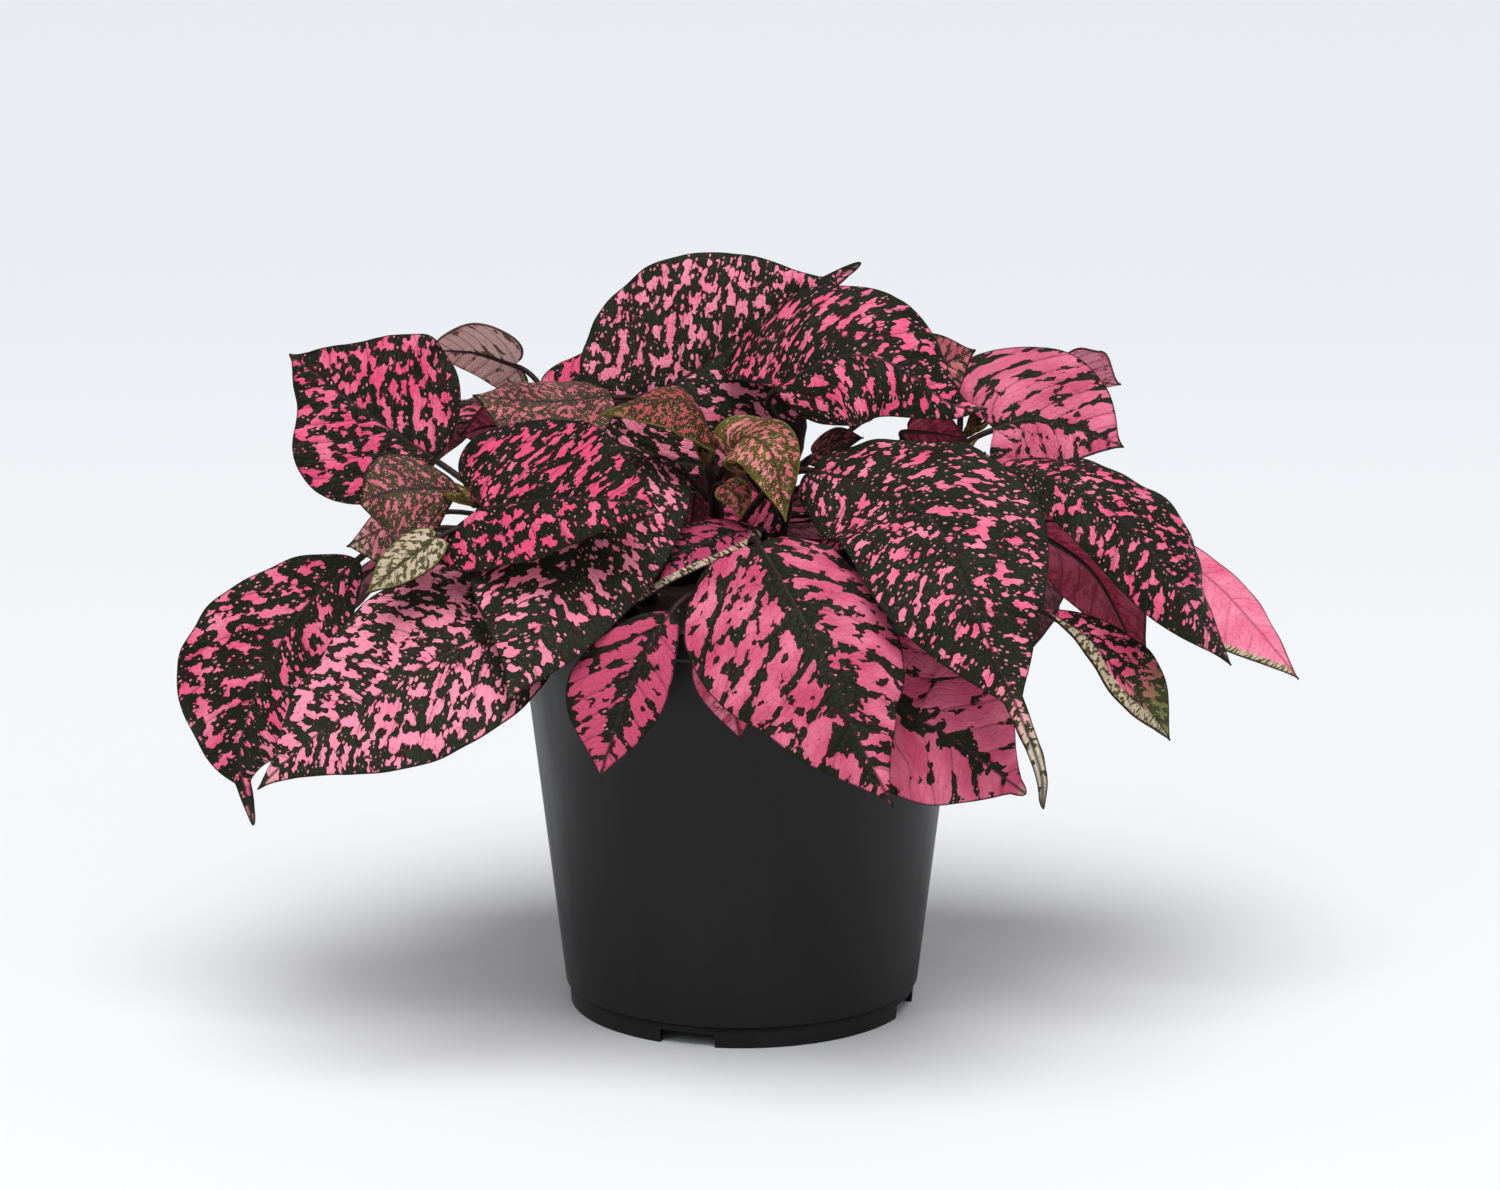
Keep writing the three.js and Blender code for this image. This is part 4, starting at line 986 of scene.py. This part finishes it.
# A pale curled edge, on a leaf whose pinks are darker than on the others: painted shade, as it lies
# under front_left_mid.
CURLED_SHADED_COLOURS = dict(
    UPPER_COLOURS, strip=(0.62, 0.5, 0.36), strip_mark=(0.06, 0.035, 0.02), pink=(0.5, 0.06, 0.15),
    pink_lit=(0.66, 0.14, 0.26),
)
BUD_COLOURS = dict(
    YOUNG_COLOURS, green=(0.13, 0.125, 0.03), green_lit=(0.24, 0.23, 0.06),
    edge=(0.12, 0.07, 0.022), pink=(0.4, 0.17, 0.1), pink_lit=(0.55, 0.32, 0.16),
    margin=(0.1, 0.06, 0.015),
)
BEIGE_COLOURS = dict(
    YOUNG_COLOURS, green=(0.034, 0.036, 0.014), green_lit=(0.065, 0.064, 0.026),
    pink=(0.58, 0.46, 0.34), pink_lit=(0.74, 0.61, 0.47), tip=(0.12, 0.11, 0.045),
    tip_pale=(0.5, 0.42, 0.28),
)
young_face = leaf_face("young_leaf_face", YOUNG_COLOURS, 1.4, 0.7, relief=0.0002)
bud_face = leaf_face("shoot_tip_face", BUD_COLOURS, 1.1, 0.3, relief=0.0002)
beige_face = leaf_face("beige_leaf_face", BEIGE_COLOURS, 1.3, 0.5, roughness=0.45, relief=0.0002)
curled_shaded_face = leaf_face(
    "leaf_with_curled_edge_painted_shade", CURLED_SHADED_COLOURS, 2.4, 0.4, roughness=0.45, relief=0.0002,
    strip=(-1, 2.0),
)

grow_leaf("young_left", stem="center", at=0.9, face=(0, -0.25, 1),
    rib=[(-7, -19, 141), (-9, -22, 148), (-15, -24, 152), (-24, -24, 151.5), (-33, -21, 148)],
    left=(9, 4, -20, -50), right=(9, 4, 10, -20), pink=0.36, tip=0.25, upper=young_face,
    under=young_face, wave=2.5, tone=0.0)
grow_leaf("young_right", stem="center", at=0.85, face=(0.2, -0.8, 0.6),
    rib=[(-3, -22, 138), (1, -28, 144), (7, -34, 141), (10.3, -38, 126)], left=(8, 3, 10, -15),
    right=(9, 3, 10, -15), pink=0.36, tip=0.15, upper=young_face, under=young_face, wave=2.5,
    tone=0.5)
grow_leaf("young_center", stem="center", at=0.7, face=(0, -0.8, 0.6),
    rib=[(-4, -24, 132), (-1, -28, 130), (0, -29, 125)], both=(4, 2, 10, -10), tip=0.2,
    upper=young_face, under=young_face, tone=0.15)
grow_leaf("left_young", stem="left", at=0.88, face=(-0.1, -0.6, 0.8), widest=0.6,
    rib=[(-66, -28, 132), (-74, -31, 132.5), (-82, -33, 132), (-88.5, -34, 129.5)],
    left=(22, -2, -15, -58), right=(11, 3, 20, 0), pink=0.22, tip=0.1, upper=small_spots, wave=1.5)
grow_leaf("left_tip_pale", stem="left", at=0.66, face=(-0.1, -0.5, 0.85),
    rib=[(-70, -41, 123), (-78, -45, 117.5), (-86, -48, 111)], both=(7, 3, 10, -10), pink=0.6,
    tip=1.4, upper=beige_face)
grow_leaf("left_tip_green", stem="left", at=0.75, face=(-0.1, -0.6, 0.8),
    rib=[(-75, -19, 124), (-84, -20, 121), (-93, -20, 116.5)], left=(13, 3, -10, -50),
    right=(6, 3, 10, -10), pink=0.5, tip=0.35, upper=small_spots, tone=0.6)
# Painted shade: dark pinks and a low tone, under front_left_mid.
grow_leaf("beige_edge", stem="center", at=0.55, face=(-0.3, -0.5, 0.8),
    rib=[(3, -26, 122), (-6, -34, 121), (-17, -42, 117), (-30, -48, 104.5)], left=(7, 3, 0, -20),
    right=(9, 3, 10, 0), pink=0.75, tip=0.1, upper=curled_shaded_face, tone=0.2)


# ---- Leaves of the back
# The same broad leaves on the far side of the plant. They grow from the three back stems,
# and most of them arch out over the rim there.

grow_leaf("back_right_low", stem="back_right", at=0.4, face=(0.5, 0.5, 0.7),
    rib=[(45, 37, 108), (61, 53, 103), (71, 66, 87), (74, 73, 66)], both=(22,))
grow_leaf("back_center_low", stem="back", at=0.5, face=(0, 0.7, 0.7),
    rib=[(6, 50, 108), (10, 66, 105), (13, 78, 89), (15, 83, 67)], both=(24,), pink=0.7, tip=0.05,
    upper=rose_face, tone=0.5)
grow_leaf("back_left_low", stem="back_left", at=0.42, face=(-0.5, 0.5, 0.7),
    rib=[(-44, 38, 108), (-61, 53, 103), (-73, 65, 86), (-80, 72, 64)], both=(22,))
grow_leaf("back_right_mid", stem="back_right", at=0.75, face=(0.4, 0.3, 0.85),
    rib=[(66, 42, 121), (81, 53, 124), (94, 62, 114), (102, 68, 98)], both=(19,), tone=0.55)
grow_leaf("back_center_top", stem="back", at=0.85, face=(0, 0.5, 0.85),
    rib=[(-6, 57, 126), (-9, 69, 126), (-12, 79, 114), (-14, 84, 95)], both=(22,))
grow_leaf("back_left_top", stem="back_left", at=0.9, face=(-0.4, 0.3, 0.85),
    rib=[(-56, 42, 138), (-70, 54, 139), (-82, 64, 127), (-90, 71, 107)], both=(21,), pink=0.4,
    tone=0.35)
grow_leaf("back_right_side", stem="back_right", at=0.55, face=(0.6, 0.2, 0.75),
    rib=[(64, 30, 114), (82, 38, 114), (98, 45, 104), (107, 48, 86)], both=(18,))
grow_leaf("back_left_side", stem="back_left", at=0.55, face=(-0.6, 0.2, 0.75),
    rib=[(-60, 14, 112), (-83.5, 20.5, 108), (-99.5, 27.5, 93), (-108.5, 32.5, 71)], left=(24,),
    right=(20,))
grow_leaf("crown_rear", stem="back", at=0.85, face=(0, 0.3, 0.95),
    rib=[(-4, 50, 146), (-2, 60, 152), (0, 70, 150), (1, 80, 138)], both=(20,), tone=0.5)
grow_leaf("crown_rear_left", stem="back", at=0.82, face=(-0.2, 0.3, 0.9),
    rib=[(-14, 54, 140), (-26, 62, 143), (-36, 71, 136), (-42, 78, 122)], both=(17,))
grow_leaf("crown_rear_right", stem="back_right", at=0.95, face=(0, 0.1, 1),
    rib=[(51, 38, 145), (41, 43, 149), (29, 46, 150), (16, 46, 146)], both=(13,))
grow_leaf("back_mid_left", stem="back", at=0.7, face=(-0.2, 0.6, 0.75),
    rib=[(-18, 50, 120), (-30, 60, 120), (-38, 71, 108), (-42, 78, 88)], both=(18,))
grow_leaf("back_mid_right", stem="back", at=0.7, face=(0.2, 0.6, 0.75),
    rib=[(12, 50, 117), (23, 60, 117), (30, 72, 107), (34, 79, 88)], both=(17,), pink=0.68,
    tip=0.05, upper=rose_face, tone=0.5)


# ---- Leaves inside the plant
# Smaller leaves in the shade near the middle, below the crown, which close the gaps between
# the stems.

grow_leaf("inner_left", stem="center", at=0.6, face=(-0.1, -0.1, 1),
    rib=[(-16, 2, 112), (-28, 6, 116), (-40, 8, 115), (-50, 8, 107)], both=(16,))
grow_leaf("inner_right", stem="crown", at=0.6, face=(0.1, 0, 1),
    rib=[(20, 4, 112), (32, 5, 117), (43, 5, 116), (52, 4, 109)], both=(14,))
grow_leaf("inner_front", stem="crown", at=0.5, face=(0.1, -0.9, 0.3),
    rib=[(4.5, 2, 112), (1.5, 1, 118), (-1, 1.5, 124), (-3, 2.5, 129)], left=(9, 3, 10, -15),
    right=(8, 3, 10, -15))
grow_leaf("inner_back", stem="back", at=0.6, face=(0.1, -0.1, 1),
    rib=[(8, 30, 114), (17, 27, 119), (27, 28, 119), (36, 32, 112)], both=(11,))


# ---- Shoot tips
# Each stem ends in a growing point: two pairs of tiny folded leaves, still upright and olive,
# which grow in one piece with the stem.

LEAFLET_LENGTHS = (10, 9, 6.5, 5.5)
LEAFLET_WIDTH = 0.27
LEAFLET_SPREAD = 0.24
LEAFLET_SEAT = 1.2
FOLDED = (55, 15)

for name, rod in stem_rods.items():
    tip = along_curve(stem_curves[name], 1.0)
    along = unit(tip - along_curve(stem_curves[name], 0.97))
    aside = unit(np.cross(along, (0.3, 1.0, 0.2)))
    number = next(leaf_numbers)
    for i, length in enumerate(LEAFLET_LENGTHS):
        turn = i * math.pi + (i // 2) * math.pi / 2
        out = math.cos(turn) * aside + math.sin(turn) * np.cross(along, aside)
        foot = tip - LEAFLET_SEAT * along
        middle = foot + length * (0.5 * along + LEAFLET_SPREAD * out)
        end = foot + length * (along + 0.8 * LEAFLET_SPREAD * out)
        leaflet = dict(
            PLAIN_LEAF, curve=smooth_curve([foot, middle, end]), face=tuple(0.3 * along - out),
            both=(LEAFLET_WIDTH * length, 0.6, *FOLDED), tip=0.7, upper=bud_face, under=bud_face,
        )
        join_to(rod, [blade_piece("leaflet", leaflet, number + i)])
    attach(rod, "root")
    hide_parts("stem_" + name)


# ---- The studio
# A plain pale paper floor under soft overhead light, with a weak soft lamp on each side, seen
# from a little above the rim. Its colour darkens towards the back: painted shade where the
# light falls off.

FLOOR_NEAR = (0.94, 0.94, 0.945)
FLOOR_FAR_PAINTED_SHADE = (0.82, 0.84, 0.86)
FLOOR_SIZE = 14
FLOOR_PLACE = (0, 2, 0)
FLOOR_ROUGHNESS = 0.6
PAINTED_FALLOFF_FROM_TO = (-2.7, -0.9)
OVERHEAD_POWER = 2.6
OVERHEAD_SOFTNESS = math.radians(50)
OVERHEAD_LEAN = (math.radians(17), math.radians(-1), 0)
LAMP_SIZE = 1.0
LAMPS = (("left_front", (-1.3, -1.5, 1.2), 4), ("right_front", (1.4, -1.2, 1.0), 2.5))
LAMPS_AIM = (0, 0, 0.1)
ROOM_LIGHT = 0.33
ROOM_TINT = (0.86, 0.89, 0.93, 1)
CAMERA_PLACE = (0.002, -0.944, 0.303)
CAMERA_PITCH = math.radians(12.1)
CAMERA_LENS = 96
CAMERA_SENSOR = 36

bpy.ops.mesh.primitive_plane_add(size=FLOOR_SIZE, location=FLOOR_PLACE)
floor = bpy.context.object
floor.name = "studio_floor"
paper, shader = new_material("pale_paper")
place = object_place(shader)
fibre = noise_at(place, 900, 3)
# Painted shade: the floor's colour darkens towards the back, where the light falls off.
away = ramp(parts(place)["Y"], *PAINTED_FALLOFF_FROM_TO)
feed(
    shader,
    Base_Color=mixed(away, FLOOR_NEAR, FLOOR_FAR_PAINTED_SHADE),
    Normal=bumped(fibre, 0.00002),
)
shader.inputs["Roughness"].default_value = FLOOR_ROUGHNESS
floor.data.materials.append(paper)


def in_scene(name, data):
    piece = bpy.data.objects.new(name, data)
    bpy.context.collection.objects.link(piece)
    return piece


overhead = bpy.data.lights.new("overhead", "SUN")
overhead.energy = OVERHEAD_POWER
overhead.angle = OVERHEAD_SOFTNESS
in_scene("overhead", overhead).rotation_euler = OVERHEAD_LEAN
for name, place, power in LAMPS:
    soft = bpy.data.lights.new(name, "AREA")
    soft.shape = "DISK"
    soft.size = LAMP_SIZE
    soft.energy = power
    lamp = in_scene(name, soft)
    lamp.location = place
    lamp.rotation_euler = (Vector(LAMPS_AIM) - Vector(place)).to_track_quat("-Z", "Y").to_euler()

world = bpy.data.worlds.new("studio")
bpy.context.scene.world = world
world.use_nodes = True
room = world.node_tree.nodes["Background"].inputs
room["Color"].default_value = ROOM_TINT
room["Strength"].default_value = ROOM_LIGHT

camera_data = bpy.data.cameras.new("camera")
camera_data.lens = CAMERA_LENS
camera_data.sensor_width = CAMERA_SENSOR
camera = in_scene("camera", camera_data)
camera.location = CAMERA_PLACE
camera.rotation_euler = (math.radians(90) - CAMERA_PITCH, 0, 0)
bpy.context.scene.camera = camera
bpy.context.scene.view_settings.view_transform = "Standard"
